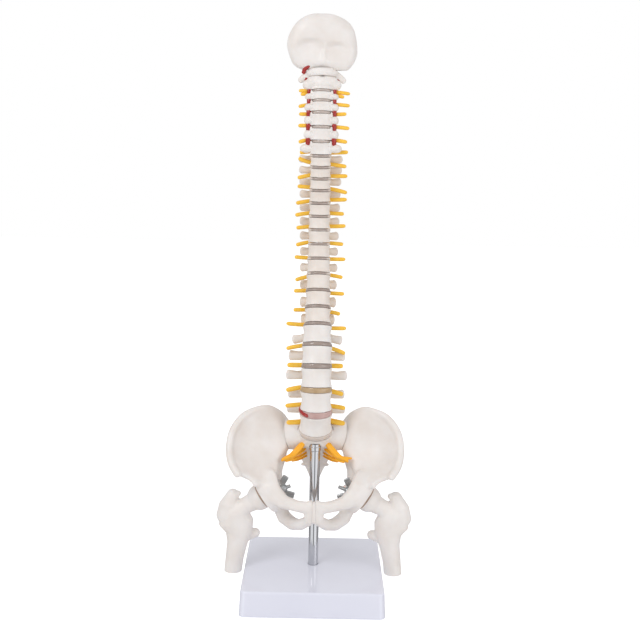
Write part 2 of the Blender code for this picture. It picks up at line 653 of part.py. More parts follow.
def make_hip(s, name):
    """One hip bone: the curved iliac wing, the socket block, the pubis and the ischium."""
    crest = ((18, 33, 122), (24, 26, 137), (31, 16, 145), (43, 8, 150.5), (57, 1, 144.5),
             (66, -6, 134.5), (69, -13, 122), (66.5, -21, 111.5), (60.5, -28, 104))
    belly = ((19, 30, 118), (22, 20, 128), (27.5, 9, 130), (36, 8, 130), (46, 6, 125), (53, 1, 119),
             (57, -6, 112.5), (56, -14, 106), (53, -24, 100))
    brim = ((19, 26, 110), (22, 15, 111), (25, 5, 112), (28, 0, 106), (31, -5, 101), (34.5, -10, 98),
            (38, -14, 96), (42, -19, 95), (46, -24, 95))
    flip = [[mm(s * x, y, z) for x, y, z in row] for row in (crest, belly, brim)]
    centre, way = hip_centre(s), hip_axis(s)
    bm = bmesh.new()
    add_sheet(bm, flip, 0.0042)
    add_limb(bm, [(p, 0.0023, 0.0023) for p in flip[0]])
    add_limb(bm, [(p, 0.0028, 0.0032) for p in flip[2][2:]])
    add_limb(bm, [
        (mm(s * 26, 18, 133), 0.0030, 0.0040), (mm(s * 25.5, 13, 126), 0.0040, 0.0060),
        (mm(s * 25, 9, 114), 0.0045, 0.0060), (mm(s * 28, 5, 105), 0.0045, 0.0060),
    ])
    add_limb(bm, [(mm(s * 27, 14, 134), 0.0050, 0.0060), (mm(s * 21, 29, 123), 0.0050, 0.0060)])
    add_limb(bm, [
        (mm(s * 49, 5, 119), 0.0020, 0.0080), (mm(s * 45, -9, 107), 0.0034, 0.0112),
        (mm(s * 41, -16, 98), 0.0046, 0.0110),
        (mm(s * 37.5, -19, 91.5), 0.0055, 0.0098), (mm(s * 31.5, -20, 85), 0.0058, 0.0080),
        (mm(s * 23, -23, 80), 0.0052, 0.0054), (mm(s * 13, -25, 77.8), 0.0044, 0.0046),
        (mm(s * 4, -25.5, 76.5), 0.0038, 0.0052),
    ], side=(0, 1, 0))
    add_ball(bm, centre - way * 0.0055, (0.0130, 0.0152, 0.0152), 24)
    add_limb(bm, [
        (mm(s * 27, 8, 108), 0.0042, 0.0060), (mm(s * 31, 6, 98), 0.0052, 0.0070),
        (mm(s * 32, 1, 86), 0.0060, 0.0080),
    ])
    add_limb(bm, [
        (mm(s * 2, -25.5, 79), 0.0050, 0.0040), (mm(s * 3, -25, 69), 0.0050, 0.0036),
    ])
    add_limb(bm, [
        (mm(s * 3, -24.5, 67.0), 0.0038, 0.0046), (mm(s * 11, -18, 59.8), 0.0040, 0.0052),
        (mm(s * 19, -9, 57.5), 0.0052, 0.0066),
    ], side=(0, 1, 0))
    add_limb(bm, [
        (mm(s * 31, -4, 76), 0.0064, 0.0060), (mm(s * 28, -3, 66), 0.0058, 0.0050),
        (mm(s * 21, -6, 57), 0.0060, 0.0062),
    ], side=(0, 1, 0))
    add_limb(bm, [(mm(s * 30, 6, 86), 0.0030, 0.0030), (mm(s * 23, 12, 80), 0.0016, 0.0018)])
    hip = fused(name, bm, 0.0008, 6, 500)
    play = HEAD_RADIUS + SOCKET_PLAY
    mouth_bm = bmesh.new()
    add_ball(mouth_bm, centre, (play, play, play), 14)
    mouth = mesh_object("mouth", mouth_bm, BONE)
    combine(mouth, rod_tool(centre, centre + way * 0.02, play * 0.97, 14), "UNION")
    combine(hip, mouth, "DIFFERENCE")
    rim = math.radians(RIM_LEAN)
    out = Vector((s * math.cos(rim), 0, -math.sin(rim)))
    tilt = Matrix((out, Vector((0, 1, 0)), out.cross(Vector((0, 1, 0))))).transposed().to_4x4()
    middle = centre - Vector((s * RIM_INWARD, 0, 0)) + out * 0.010
    block = bmesh.new()
    bmesh.ops.create_cube(block, size=1, matrix=Matrix.Translation(middle) @ tilt
                          @ Matrix.LocRotScale(None, None, (0.020, 0.040, 0.030)))
    bmesh.ops.recalc_face_normals(block, faces=block.faces)
    combine(hip, mesh_object("rim", block, BONE), "DIFFERENCE")
    bore = bmesh.new()
    add_cone(bore, centre, -way, ((0, BOLT_RADIUS + GAP), (0.03, BOLT_RADIUS + GAP)), 10)
    bmesh.ops.recalc_face_normals(bore, faces=bore.faces)
    combine(hip, mesh_object("bore", bore, BONE), "DIFFERENCE")
    room = bmesh.new()
    seat_face = HEAD_RADIUS + SOCKET_WALL
    add_cone(room, centre, -way, ((seat_face, 0.0048), (seat_face + 0.007, 0.0104),
                                  (seat_face + 0.013, 0.0104)), 14)
    bmesh.ops.recalc_face_normals(room, faces=room.faces)
    combine(hip, mesh_object("room", room, BONE), "DIFFERENCE")
    edge = SYMPHYSIS_THICK / 2 + GAP
    sides = sorted((s * edge, -s * 0.012))
    combine(hip, box_tool((sides[0], -0.06, 0.04), (sides[1], 0.02, 0.10)), "DIFFERENCE")
    combine(hip, joint_block(s, -1, 0.104), "DIFFERENCE")
    hip.data.materials.clear()
    hip.data.materials.append(BONE)
    shade(hip)


def make_femur(s, name):
    """The upper end of a femur, cut off below the lesser trochanter."""
    centre, way = hip_centre(s), hip_axis(s)
    bm = bmesh.new()
    add_ball(bm, centre, (HEAD_RADIUS, HEAD_RADIUS, HEAD_RADIUS), 24)
    add_limb(bm, [
        (centre + mm(s * 4, 0, -3), 0.0078, 0.0078), (mm(s * 54, -9, 72), 0.0066, 0.0068),
        (mm(s * 62, -9, 66), 0.0085, 0.0085),
    ], side=(0, 1, 0))
    add_limb(bm, [
        (mm(s * 68, -8, 63), 0.0100, 0.0082), (mm(s * 67.5, -8, 72), 0.0082, 0.0076),
        (mm(s * 65, -7, 79.5), 0.0052, 0.0056),
    ])
    add_limb(bm, [
        (mm(s * 62.5, -9, 66), 0.0110, 0.0085), (mm(s * 62, -9, 58), 0.0142, 0.0083),
        (mm(s * 59.5, -9, 50), 0.0108, 0.0078), (mm(s * 61, -9, 40), 0.0082, 0.0073),
        (mm(s * 63, -9, 28), 0.0073, 0.0070), (mm(s * 64.7, -9, 13), 0.0070, 0.0068),
    ])
    add_limb(bm, [(mm(s * 54, -7, 47), 0.0060, 0.0050), (mm(s * 46.5, -5, 47.5), 0.0038, 0.0036)],
             side=(0, 0, 1))
    bone = fused(name, bm, 0.0008, 4, 280)
    combine(bone, box_tool(mm(s * 66 - 16, -25, 2), mm(s * 66 + 16, 10, 17)), "DIFFERENCE")
    bore = bmesh.new()
    add_cone(bore, centre, way, ((-0.02, BOLT_RADIUS + GAP), (BOLT_GRIP + GAP, BOLT_RADIUS + GAP)), 10)
    bmesh.ops.recalc_face_normals(bore, faces=bore.faces)
    combine(bone, mesh_object("bore", bore, BONE), "DIFFERENCE")
    bone.data.materials.clear()
    bone.data.materials.append(BONE)
    seat(bone, centre)


def make_bolt(s, name):
    centre, way = hip_centre(s), hip_axis(s)
    bm = bmesh.new()
    add_cone(bm, centre, way, ((-BOLT_REACH, BOLT_RADIUS), (BOLT_GRIP, BOLT_RADIUS)), 10)
    bmesh.ops.recalc_face_normals(bm, faces=bm.faces)
    seat(mesh_object(name, bm, ZINC), centre)


def make_wing_nut(s, name):
    """A wing nut: a round hub with two wings bent towards the bolt's free end, bored for the bolt."""
    way = -hip_axis(s)
    foot = hip_centre(s) + way * (HEAD_RADIUS + SOCKET_WALL + GAP)
    upright = way.cross(Vector((0, 1, 0)))
    bm = bmesh.new()
    add_cone(bm, foot, way, ((0, NUT_RADIUS), (NUT_HEIGHT * 0.6, NUT_RADIUS),
                             (NUT_HEIGHT, NUT_RADIUS * 0.8)), 12)
    bmesh.ops.recalc_face_normals(bm, faces=bm.faces)
    nut = mesh_object(name, bm, ZINC)
    lean = math.radians(NUT_WING_LEAN)
    thick = Vector((0, NUT_WING_THICK / 2, 0))
    for side in (-1, 1):
        along = way * math.cos(lean) + upright * (side * math.sin(lean))
        across = upright * math.cos(lean) - way * (side * math.sin(lean))
        root = foot + way * (NUT_HEIGHT * 0.45)
        rings = []
        for reach, half in ((0.0, 0.5), (0.35, 0.8), (0.9, 1.0), (1.0, 0.7)):
            middle = root + along * (NUT_WING_REACH * reach)
            tall = across * (NUT_WING_WIDE / 2 * half)
            rings.append([middle - tall - thick, middle + tall - thick,
                          middle + tall + thick, middle - tall + thick])
        wing = bmesh.new()
        add_rings(wing, rings)
        bmesh.ops.recalc_face_normals(wing, faces=wing.faces)
        combine(nut, mesh_object("wing", wing, ZINC), "UNION")
    bore = bmesh.new()
    add_cone(bore, foot, way, ((-0.002, BOLT_RADIUS + GAP), (0.010, BOLT_RADIUS + GAP)), 10)
    bmesh.ops.recalc_face_normals(bore, faces=bore.faces)
    combine(nut, mesh_object("bore", bore, ZINC), "DIFFERENCE")
    nut.data.materials.clear()
    nut.data.materials.append(ZINC)
    seat(nut, foot)


def make_base():
    """A moulded square block with a socket for the rod."""
    bm = bmesh.new()
    bmesh.ops.create_cube(bm, size=1)
    for v in bm.verts:
        half = BASE_SIDE / 2 - (BASE_DRAFT if v.co.z > 0 else 0)
        v.co = Vector((math.copysign(half, v.co.x), math.copysign(half, v.co.y),
                       BASE_HEIGHT if v.co.z > 0 else 0))
    upright = [e for e in bm.edges if abs(e.verts[0].co.z - e.verts[1].co.z) > BASE_HEIGHT / 2]
    bmesh.ops.bevel(bm, geom=upright, offset=BASE_CORNER, segments=3, profile=0.5, affect="EDGES")
    rim = [e for e in bm.edges if min(v.co.z for v in e.verts) > BASE_HEIGHT * 0.9]
    bmesh.ops.bevel(bm, geom=rim, offset=BASE_EDGE, segments=1, profile=0.5, affect="EDGES")
    base = mesh_object("base", bm, BASE_PLASTIC)
    socket = rod_tool((0, 0, BASE_HEIGHT - ROD_SEAT - GAP), (0, 0, BASE_HEIGHT + 0.01), ROD_RADIUS + GAP, 14)
    combine(base, socket, "DIFFERENCE")
    base.data.materials.clear()
    base.data.materials.append(BASE_PLASTIC)
    shade(base)


def make_rod():
    """The steel rod, with the collar that the sacrum sits on turned in one piece with it."""
    low = BASE_HEIGHT - ROD_SEAT
    high = COLLAR_LOW + COLLAR_HEIGHT
    profile = (
        (low, ROD_RADIUS), (COLLAR_LOW, ROD_RADIUS), (COLLAR_LOW, COLLAR_RADIUS),
        (high, COLLAR_RADIUS), (high, ROD_RADIUS), (ROD_TOP, ROD_RADIUS),
    )
    bm = bmesh.new()
    x_way, y_way = Vector((1, 0, 0)), Vector((0, 1, 0))
    add_rings(bm, [ellipse(Vector((0, 0, z)), x_way, y_way, r, r, 12) for z, r in profile])
    bmesh.ops.recalc_face_normals(bm, faces=bm.faces)
    rod = mesh_object("stand_rod", bm, CHROME)
    shade(rod)


def make_symphysis():
    """The pad between the two pubic bones."""
    bm = bmesh.new()
    centre = Vector((0, PUBIS_BACK, PUBIS_RISE))
    half = SYMPHYSIS_THICK / 2
    y_way, z_way = Vector((0, 1, 0)), Vector((0, 0, 1))
    rings = []
    for x in (-half, half):
        middle = centre + Vector((x, 0, 0))
        rings.append(ellipse(middle, y_way, z_way, SYMPHYSIS_DEPTH / 2, SYMPHYSIS_HEIGHT / 2, 12))
    add_rings(bm, rings)
    bmesh.ops.recalc_face_normals(bm, faces=bm.faces)
    pad = mesh_object("pubic_symphysis", bm, CARTILAGE)
    shade(pad)


make_base()
make_rod()
make_sacrum()
for sign, label in ((-1, "left"), (1, "right")):
    make_hip(sign, f"hip_bone_{label}")
    make_femur(sign, f"femur_{label}")
    make_bolt(sign, f"hip_bolt_{label}")
    make_wing_nut(sign, f"wing_nut_{label}")
make_symphysis()
for number in range(AXIS + 1):
    make_disc(number)
    make_vertebra(number)
make_atlas()
make_occiput()
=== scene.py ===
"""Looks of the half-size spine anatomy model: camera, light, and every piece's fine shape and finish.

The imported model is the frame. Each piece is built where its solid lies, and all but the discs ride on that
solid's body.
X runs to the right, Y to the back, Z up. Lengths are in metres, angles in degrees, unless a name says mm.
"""

import json
import math

import bmesh
import bpy
from mathutils import Matrix, Vector


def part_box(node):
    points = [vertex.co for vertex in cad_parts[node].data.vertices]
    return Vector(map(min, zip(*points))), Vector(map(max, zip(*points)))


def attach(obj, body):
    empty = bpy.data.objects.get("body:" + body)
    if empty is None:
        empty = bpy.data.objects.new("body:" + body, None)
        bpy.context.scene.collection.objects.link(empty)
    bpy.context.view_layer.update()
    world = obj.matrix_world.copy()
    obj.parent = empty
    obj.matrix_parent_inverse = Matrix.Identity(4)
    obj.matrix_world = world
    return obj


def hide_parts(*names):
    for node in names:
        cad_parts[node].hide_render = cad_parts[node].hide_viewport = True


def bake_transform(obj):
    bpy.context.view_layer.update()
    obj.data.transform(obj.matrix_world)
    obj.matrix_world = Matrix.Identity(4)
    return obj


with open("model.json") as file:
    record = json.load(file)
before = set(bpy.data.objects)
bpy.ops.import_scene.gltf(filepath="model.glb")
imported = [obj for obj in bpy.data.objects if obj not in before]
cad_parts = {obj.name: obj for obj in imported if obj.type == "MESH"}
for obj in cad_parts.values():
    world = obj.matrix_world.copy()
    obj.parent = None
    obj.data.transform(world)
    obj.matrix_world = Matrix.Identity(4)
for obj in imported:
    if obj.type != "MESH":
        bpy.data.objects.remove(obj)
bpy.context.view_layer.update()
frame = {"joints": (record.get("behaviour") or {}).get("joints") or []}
scene = bpy.context.scene
scene.view_settings.view_transform = "Standard"

# Camera
# A long lens looks slightly down at the model from 0.75 m, as a product photographer would place it.
CAMERA_PLACE = Vector((0.0019, -0.751, 0.3506))
CAMERA_DOWN = 9.8
CAMERA_ROLL = 1.1
LENS_MM = 55.07
SENSOR_MM = 36.0

camera_data = bpy.data.cameras.new("camera")
camera_data.lens = LENS_MM
camera_data.sensor_width = SENSOR_MM
camera = bpy.data.objects.new("camera", camera_data)
camera.matrix_world = (
    Matrix.Translation(CAMERA_PLACE)
    @ Matrix.Rotation(math.radians(90 - CAMERA_DOWN), 4, "X")
    @ Matrix.Rotation(math.radians(CAMERA_ROLL), 4, "Z")
)
scene.collection.objects.link(camera)
scene.camera = camera


# Studio
# White paper under and behind the model, soft light from all round, and one large lamp at the upper left.
def linear(code):
    """A colour written as sRGB hex, turned to the linear values that shaders take."""
    parts = [int(code[i:i + 2], 16) / 255 for i in (1, 3, 5)]
    return tuple(c / 12.92 if c <= 0.04045 else ((c + 0.055) / 1.055) ** 2.4 for c in parts) + (1.0,)


def plug(tree, node, inputs):
    """Sets or links a node's inputs, by name or number. A node stands for its own first output."""
    for key, value in inputs.items():
        if isinstance(value, bpy.types.Node):
            value = value.outputs[0]
        if isinstance(value, bpy.types.NodeSocket):
            tree.links.new(value, node.inputs[key])
        else:
            node.inputs[key].default_value = value


def add_node(tree, kind, inputs=None, **settings):
    """Adds a node, a shader node unless its kind says otherwise, and sets its properties and inputs."""
    node = tree.nodes.new(kind if "Node" in kind else f"ShaderNode{kind}")
    for key, value in settings.items():
        setattr(node, key, value)
    plug(tree, node, inputs or {})
    return node


def maths(tree, operation, *values):
    return add_node(tree, "Math", dict(enumerate(values)), operation=operation)


def ramped(tree, value, low, high, first=0.0, last=1.0):
    """Turns what lies between low and high into what lies between first and last."""
    return add_node(tree, "MapRange", {0: value, 1: low, 2: high, 3: first, 4: last})


def colours(tree, share, first, second):
    """Two colours, mixed by a share."""
    return add_node(tree, "Mix", {0: share, 6: first, 7: second}, data_type="RGBA").outputs[2]


def link_mesh(name, bm):
    """A new object from a bmesh, with its place in the mesh."""
    data = bpy.data.meshes.new(name)
    bm.to_mesh(data)
    bm.free()
    obj = bpy.data.objects.new(name, data)
    scene.collection.objects.link(obj)
    return obj


ROOM_LIGHT = 0.72  # what reaches a surface from all sides
PAPER_LIFT = 0.5  # how far the paper is brought up to pure white for the camera
PAPER_HALF = 3.0
KEY_WATTS = 5.6
FILL_WATTS = 2.1
# What mirrors see of the room from left to right: white walls, broken by dark flags at both ends and
# in the middle. Each stop is a place and a brightness.
MIRROR_STOPS = ((0.03, 0.38), (0.07, 1.10), (0.34, 1.20), (0.43, 0.36), (0.50, 0.26), (0.56, 0.36),
                (0.64, 1.20), (0.92, 1.25), (0.96, 0.40))
MIRROR_LOW = (0.38, 0.38, 0.39, 1)  # low down behind the model, which darkens both edges of the rod
MIRROR_TOP = (0.70, 0.70, 0.71, 1)

world = bpy.data.worlds.new("studio")
scene.world = world
world.use_nodes = True
tree = world.node_tree
tree.nodes.clear()
rays = add_node(tree, "LightPath").outputs
way = add_node(tree, "SeparateXYZ", {0: add_node(tree, "TexCoord").outputs["Generated"]}).outputs
flags = add_node(tree, "ValToRGB", {0: maths(tree, "MULTIPLY_ADD", way["X"], 0.5, 0.5)})
ramp = flags.color_ramp
ramp.elements[0].position, ramp.elements[0].color = 0.0, (0.36, 0.36, 0.37, 1)
ramp.elements[1].position, ramp.elements[1].color = 1.0, (0.40, 0.40, 0.41, 1)
for place, value in MIRROR_STOPS:
    ramp.elements.new(place).color = (value, value, value * 1.01, 1)
low_behind = maths(tree, "MULTIPLY", ramped(tree, way["Y"], 0.02, 0.2), ramped(tree, way["Z"], 0.05, -0.05))
banded = colours(tree, low_behind, flags, MIRROR_LOW)
topped = colours(tree, ramped(tree, way["Z"], 0.02, 0.15), banded, MIRROR_TOP)
mirror_room = add_node(tree, "Background", {0: topped, 1: 1.0})
room = add_node(tree, "Background", {0: linear("#FDFDFF"), 1: ROOM_LIGHT})
white = add_node(tree, "Background", {0: (1, 1, 1, 1), 1: 1.0})
both = add_node(tree, "MixShader", {0: rays["Is Glossy Ray"], 1: room, 2: mirror_room})
seen = maths(tree, "MAXIMUM", rays["Is Camera Ray"], rays["Is Transmission Ray"])
add_node(tree, "OutputWorld", {0: add_node(tree, "MixShader", {0: seen, 1: both, 2: white})})

# Mirrors don't see the paper, only the room.
paper = bpy.data.materials.new("white_paper")
paper.use_nodes = True
tree = paper.node_tree
tree.nodes.clear()
seen = maths(tree, "MULTIPLY", add_node(tree, "LightPath").outputs["Is Camera Ray"], PAPER_LIFT)
matt = add_node(tree, "BsdfDiffuse", {0: linear("#FBFBFB")})
lift = add_node(tree, "Emission", {0: (1, 1, 1, 1), 1: seen})
add_node(tree, "OutputMaterial", {0: add_node(tree, "AddShader", {0: matt, 1: lift})})
floor_mesh = bmesh.new()
bmesh.ops.create_grid(floor_mesh, x_segments=1, y_segments=1, size=PAPER_HALF)
floor = link_mesh("floor", floor_mesh)
floor.data.materials.append(paper)
floor.location.z = -0.0002
floor.visible_glossy = False


def add_lamp(name, place, target, size, watts):
    data = bpy.data.lights.new(name, "AREA")
    data.shape = "DISK"
    data.size = size
    data.energy = watts
    lamp = bpy.data.objects.new(name, data)
    lamp.location = place
    lamp.rotation_euler = (Vector(target) - Vector(place)).to_track_quat("-Z", "Y").to_euler()
    scene.collection.objects.link(lamp)


add_lamp("key", (-0.75, -0.85, 1.15), (0, 0, 0.22), 0.7, KEY_WATTS)
add_lamp("fill", (0.9, -0.7, 0.5), (0, 0, 0.22), 0.8, FILL_WATTS)


# Base
# A square injection-moulded block with sides that lean in slightly and small round edges.
# Glossy bluish-white ABS: a smooth skin that mirrors the rod faintly.
def new_material(name):
    """A material, its tree, its shader, and the place on the piece that its patterns follow."""
    made = bpy.data.materials.new(name)
    made.use_nodes = True
    tree = made.node_tree
    return made, tree, tree.nodes["Principled BSDF"], add_node(tree, "TexCoord").outputs["Object"]


def speckle(tree, spots, scale, detail):
    return add_node(tree, "TexNoise", {"Vector": spots, "Scale": scale, "Detail": detail})


def relief(tree, height, strength, deep):
    return add_node(tree, "Bump", {"Height": height, "Strength": strength, "Distance": deep})


def two_tone(name, first, second, scale, detail, inputs, skin=None):
    """A material in two close tones that drift over the piece. Its skin is a strength and a depth."""
    made, tree, shader, spots = new_material(name)
    drift = speckle(tree, spots, scale, detail)
    plug(tree, shader, {"Base Color": colours(tree, drift, linear(first), linear(second)), **inputs})
    if skin:
        plug(tree, shader, {"Normal": relief(tree, drift, *skin)})
    return made


def bake(obj):
    """Applies the object's modifiers."""
    graph = bpy.context.evaluated_depsgraph_get()
    data = bpy.data.meshes.new_from_object(obj.evaluated_get(graph))
    obj.modifiers.clear()
    obj.data = data


def seat_piece(obj, look, body, slot, *nodes, sharp=None):
    """Gives a finished piece its material and body, and hides the solids that it stands for.

    Edges that turn by more than sharp degrees stay sharp. The slot is not used."""
    obj.data.materials.clear()
    obj.data.materials.append(look)
    obj.data.shade_smooth()
    if sharp:
        obj.data.set_sharp_from_angle(angle=math.radians(sharp))
    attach(obj, body)
    if nodes:
        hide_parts(*nodes)


def combine(obj, tool, operation="DIFFERENCE"):
    """Cuts a tool out of the object, or joins it to the object, and removes the tool."""
    step = obj.modifiers.new(operation.lower(), "BOOLEAN")
    step.operation = operation
    step.object = tool
    step.solver = "MANIFOLD"
    bake(obj)
    bpy.data.objects.remove(tool, do_unlink=True)


def ellipse(centre, side, other, wide, thick, count):
    angles = [2 * math.pi * i / count for i in range(count)]
    return [centre + side * (wide * math.cos(a)) + other * (thick * math.sin(a)) for a in angles]


def add_rings(bm, rings):
    """A closed skin over rings of points."""
    rows = [[bm.verts.new(p) for p in ring] for ring in rings]
    count = len(rows[0])
    for low, high in zip(rows, rows[1:]):
        for i in range(count):
            j = (i + 1) % count
            bm.faces.new((low[i], low[j], high[j], high[i]))
    bm.faces.new(rows[0][::-1])
    bm.faces.new(rows[-1])


def add_round(bm, start, way, stations, count=32):
    """A turned shape: (distance along, radius) sections about an axis."""
    axis = Vector(way).normalized()
    side = axis.orthogonal().normalized()
    other = axis.cross(side)
    add_rings(bm, [ellipse(Vector(start) + axis * d, side, other, r, r, count) for d, r in stations])


def closed(name, bm):
    """An object from a bmesh, with its faces turned outwards."""
    bmesh.ops.recalc_face_normals(bm, faces=bm.faces)
    return link_mesh(name, bm)


def from_rings(name, rings):
    bm = bmesh.new()
    add_rings(bm, rings)
    return closed(name, bm)


def bore(obj, start, way, stations, count):
    """Cuts a turned shape out of the object."""
    hole = bmesh.new()
    add_round(hole, start, way, stations, count)
    combine(obj, closed("tool", hole))


def box_tool(middle, size, turn=Matrix()):
    """A box about a place, with its sides along the axes of a turn."""
    bm = bmesh.new()
    bmesh.ops.create_cube(bm, size=1, matrix=Matrix.Translation(middle) @ turn
                          @ Matrix.LocRotScale(None, None, Vector(size)))
    return closed("tool", bm)


BASE_LOW, BASE_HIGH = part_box("base")
BASE_DRAFT = 0.001
BASE_CORNER = 0.0045
BASE_EDGE = 0.0016
ROD_HOLE = 0.0043
ROD_HOLE_DEPTH = 0.012

abs_plastic, tree, shader, spots = new_material("glossy_abs")
# Faint flow marks from moulding, about 30 mm across.
flow = speckle(tree, spots, 34.0, 2.0)
plug(tree, shader, {
    "Base Color": colours(tree, flow, linear("#E3E4F0"), linear("#E8E9F4")),
    "Normal": relief(tree, speckle(tree, spots, 220.0, 3.0), 0.02, 0.0004),
    "Roughness": 0.13, "IOR": 1.53, "Coat Weight": 0.7, "Coat Roughness": 0.05})

block = bmesh.new()
bmesh.ops.create_cube(block, size=1)
for v in block.verts:
    lean = BASE_DRAFT if v.co.z > 0 else 0
    v.co.x = math.copysign(BASE_HIGH.x - lean, v.co.x)
    v.co.y = math.copysign(BASE_HIGH.y - lean, v.co.y)
    v.co.z = BASE_HIGH.z if v.co.z > 0 else BASE_LOW.z
upright = [e for e in block.edges if abs(e.verts[0].co.z - e.verts[1].co.z) > BASE_HIGH.z / 2]
bmesh.ops.bevel(block, geom=upright, offset=BASE_CORNER, segments=8, profile=0.5, affect="EDGES")
rim = [e for e in block.edges if min(v.co.z for v in e.verts) > BASE_HIGH.z * 0.9]
bmesh.ops.bevel(block, geom=rim, offset=BASE_EDGE, segments=5, profile=0.5, affect="EDGES")
base = link_mesh("base_block", block)
bore(base, (0, 0, BASE_HIGH.z - ROD_HOLE_DEPTH), (0, 0, 1), ((0, ROD_HOLE), (0.02, ROD_HOLE)), 48)
seat_piece(base, abs_plastic, "stand", "base_plastic", "base", sharp=30)


# Rod
# A steel bar 8 mm thick, ground, nickelled and chromed, with a turned collar under the sacrum.
# The chrome mirrors the room in long upright bands.
ROD_LOW, ROD_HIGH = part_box("stand_rod")
ROD_RADIUS = 0.0040
COLLAR_LOW, COLLAR_HIGH, COLLAR_RADIUS = 0.1155, 0.1191, 0.0046
COLLAR_EASE = 0.0005

chrome, tree, shader, spots = new_material("chromed_steel")
# Grinding marks run round the bar, a few tenths of a millimetre apart.
fine = add_node(tree, "Mapping", {"Vector": spots, "Scale": (60, 60, 2600)}).outputs[0]
plug(tree, shader, {"Base Color": linear("#C9CACD"), "Metallic": 1.0,
                    "Roughness": ramped(tree, speckle(tree, fine, 1.0, 2.0), 0.0, 1.0, 0.06, 0.13)})

bar = bmesh.new()
add_round(bar, (0, 0, 0), (0, 0, 1), (
    (ROD_LOW.z, ROD_RADIUS), (COLLAR_LOW - COLLAR_EASE, ROD_RADIUS), (COLLAR_LOW, ROD_RADIUS * 0.96),
    (COLLAR_LOW, COLLAR_RADIUS - COLLAR_EASE), (COLLAR_LOW + COLLAR_EASE, COLLAR_RADIUS),
    (COLLAR_HIGH - COLLAR_EASE, COLLAR_RADIUS), (COLLAR_HIGH, COLLAR_RADIUS - COLLAR_EASE),
    (COLLAR_HIGH, ROD_RADIUS), (ROD_HIGH.z, ROD_RADIUS)), 64)
seat_piece(closed("rod", bar), chrome, "stand", "chromed_steel", "stand_rod", sharp=30)


# Sacrum
# Cast in ivory-white PVC in one piece with the coccyx, with a flat joint face on each side.
# The casting is satin and slightly see-through at thin edges.
def mm(x, y, z):
    return Vector((x, y, z)) / 1000


PVC_ROUGHNESS = 0.42
PVC_DEPTH = (0.0012, 0.0009, 0.0007)


def see_through(weight, depth):
    """Inputs of a material that lets light in, to a depth in metres for red, green and blue."""
    return {"Subsurface Weight": weight, "Subsurface Radius": depth, "Subsurface Scale": 1.0}


def pvc_material(name, light="#EDE8E4", warm="#E5DDD6"):
    """Cast PVC: an even milky colour with faint warm clouds about 15 mm across and a fine cast skin."""
    made, tree, shader, spots = new_material(name)
    cloud = ramped(tree, speckle(tree, spots, 65.0, 3.0), 0.35, 0.75)
    swell = speckle(tree, spots, 260.0, 2.0)
    height = maths(tree, "MULTIPLY_ADD", speckle(tree, spots, 900.0, 4.0), 0.35, swell)
    plug(tree, shader, {
        "Base Color": colours(tree, cloud, linear(light), linear(warm)),
        "Normal": relief(tree, height, 0.16, 0.0004),
        "Roughness": ramped(tree, swell, 0.0, 1.0, PVC_ROUGHNESS - 0.05, PVC_ROUGHNESS + 0.07),
        "IOR": 1.53, **see_through(0.12, PVC_DEPTH)})
    return made


pvc = pvc_material("cast_pvc")


def add_limb(bm, stations, side=(1, 0, 0), count=20):
    """A bar with domed ends through (point, half width along side, half thickness) stations."""
    points = [Vector(s[0]) for s in stations]
    last = len(points) - 1
    ways = [(points[min(i + 1, last)] - points[max(i - 1, 0)]).normalized() for i in range(last + 1)]
    rings = []

    def ring(point, way, wide, thick):
        across = (Vector(side) - way * way.dot(Vector(side))).normalized()
        rings.append(ellipse(point, across, way.cross(across), wide, thick, count))

    def dome(index, sign):
        wide, thick = stations[index][1:]
        tip = min(wide, thick)
        for bend in (80, 60, 40, 20) if sign < 0 else (20, 40, 60, 80):
            a = math.radians(bend)
            centre = points[index] + ways[index] * (sign * tip * math.sin(a))
            ring(centre, ways[index], wide * math.cos(a), thick * math.cos(a))

    dome(0, -1)
    for point, way, station in zip(points, ways, stations):
        ring(point, way, station[1], station[2])
    dome(last, 1)
    add_rings(bm, rings)


def add_bone(bm, s, rows, **settings):
    """A limb through (x, y, z, half width, half thickness) rows in mm, mirrored for the left side (-1)."""
    add_limb(bm, [(mm(s * x, y, z), wide / 1000, thick / 1000) for x, y, z, wide, thick in rows], **settings)


def add_ball(bm, centre, radii, count=32):
    place = Matrix.LocRotScale(Vector(centre), None, Vector(radii))
    bmesh.ops.create_uvsphere(bm, u_segments=count, v_segments=count * 2 // 3, radius=1, matrix=place)


def fused(name, bm, grain, passes, extra=None):
    """Overlapping shapes moulded into one skin of this grain, and eased."""
    obj = closed(name, bm)
    skin = obj.modifiers.new("skin", "REMESH")
    skin.mode = "VOXEL"
    skin.voxel_size = grain
    ease = obj.modifiers.new("ease", "SMOOTH")
    ease.factor = 0.5
    ease.iterations = passes
    bake(obj)
    return obj


# The column's layout, read from the joints: the middle of each disc and how far it leans.
BENDS = [j for j in frame["joints"] if j["name"].startswith("bend_")]
LEVELS = [Vector(j["pos_m"]) for j in BENDS]
LEANS = [math.degrees(math.atan2(j["axis"][2], j["axis"][1])) for j in BENDS]
BODIES = [j["child"] for j in BENDS]
NAMES = [j["child"].split("_")[0] for j in BENDS[:-1]]
SIDES = ((-1, "left"), (1, "right"))
SACRAL_LEAN = 36
WEDGE_SHARE = 0.5
GAP = 0.0003
JOINT_SEAM = 0.0005  # between sacrum and hip bone, seen as a thin line
JOINT_HIGH = 0.160
DISC = ((0, 0.0032), (1, 0.0034), (3, 0.0030), (5, 0.0022), (8, 0.0019), (17, 0.0017), (24, 0.0015))
HALF_WIDTH = (
    (0, 0.0133), (1, 0.0127), (3, 0.0122), (4, 0.0117), (5, 0.0106), (7, 0.0098), (9, 0.0091),
    (12, 0.0086), (16, 0.0084), (17, 0.0085), (18, 0.0088), (22, 0.0089),
)
HALF_DEPTH = ((0, 0.0105), (3, 0.0100), (5, 0.0092), (8, 0.0080), (12, 0.0070), (16, 0.0062), (21, 0.0056))


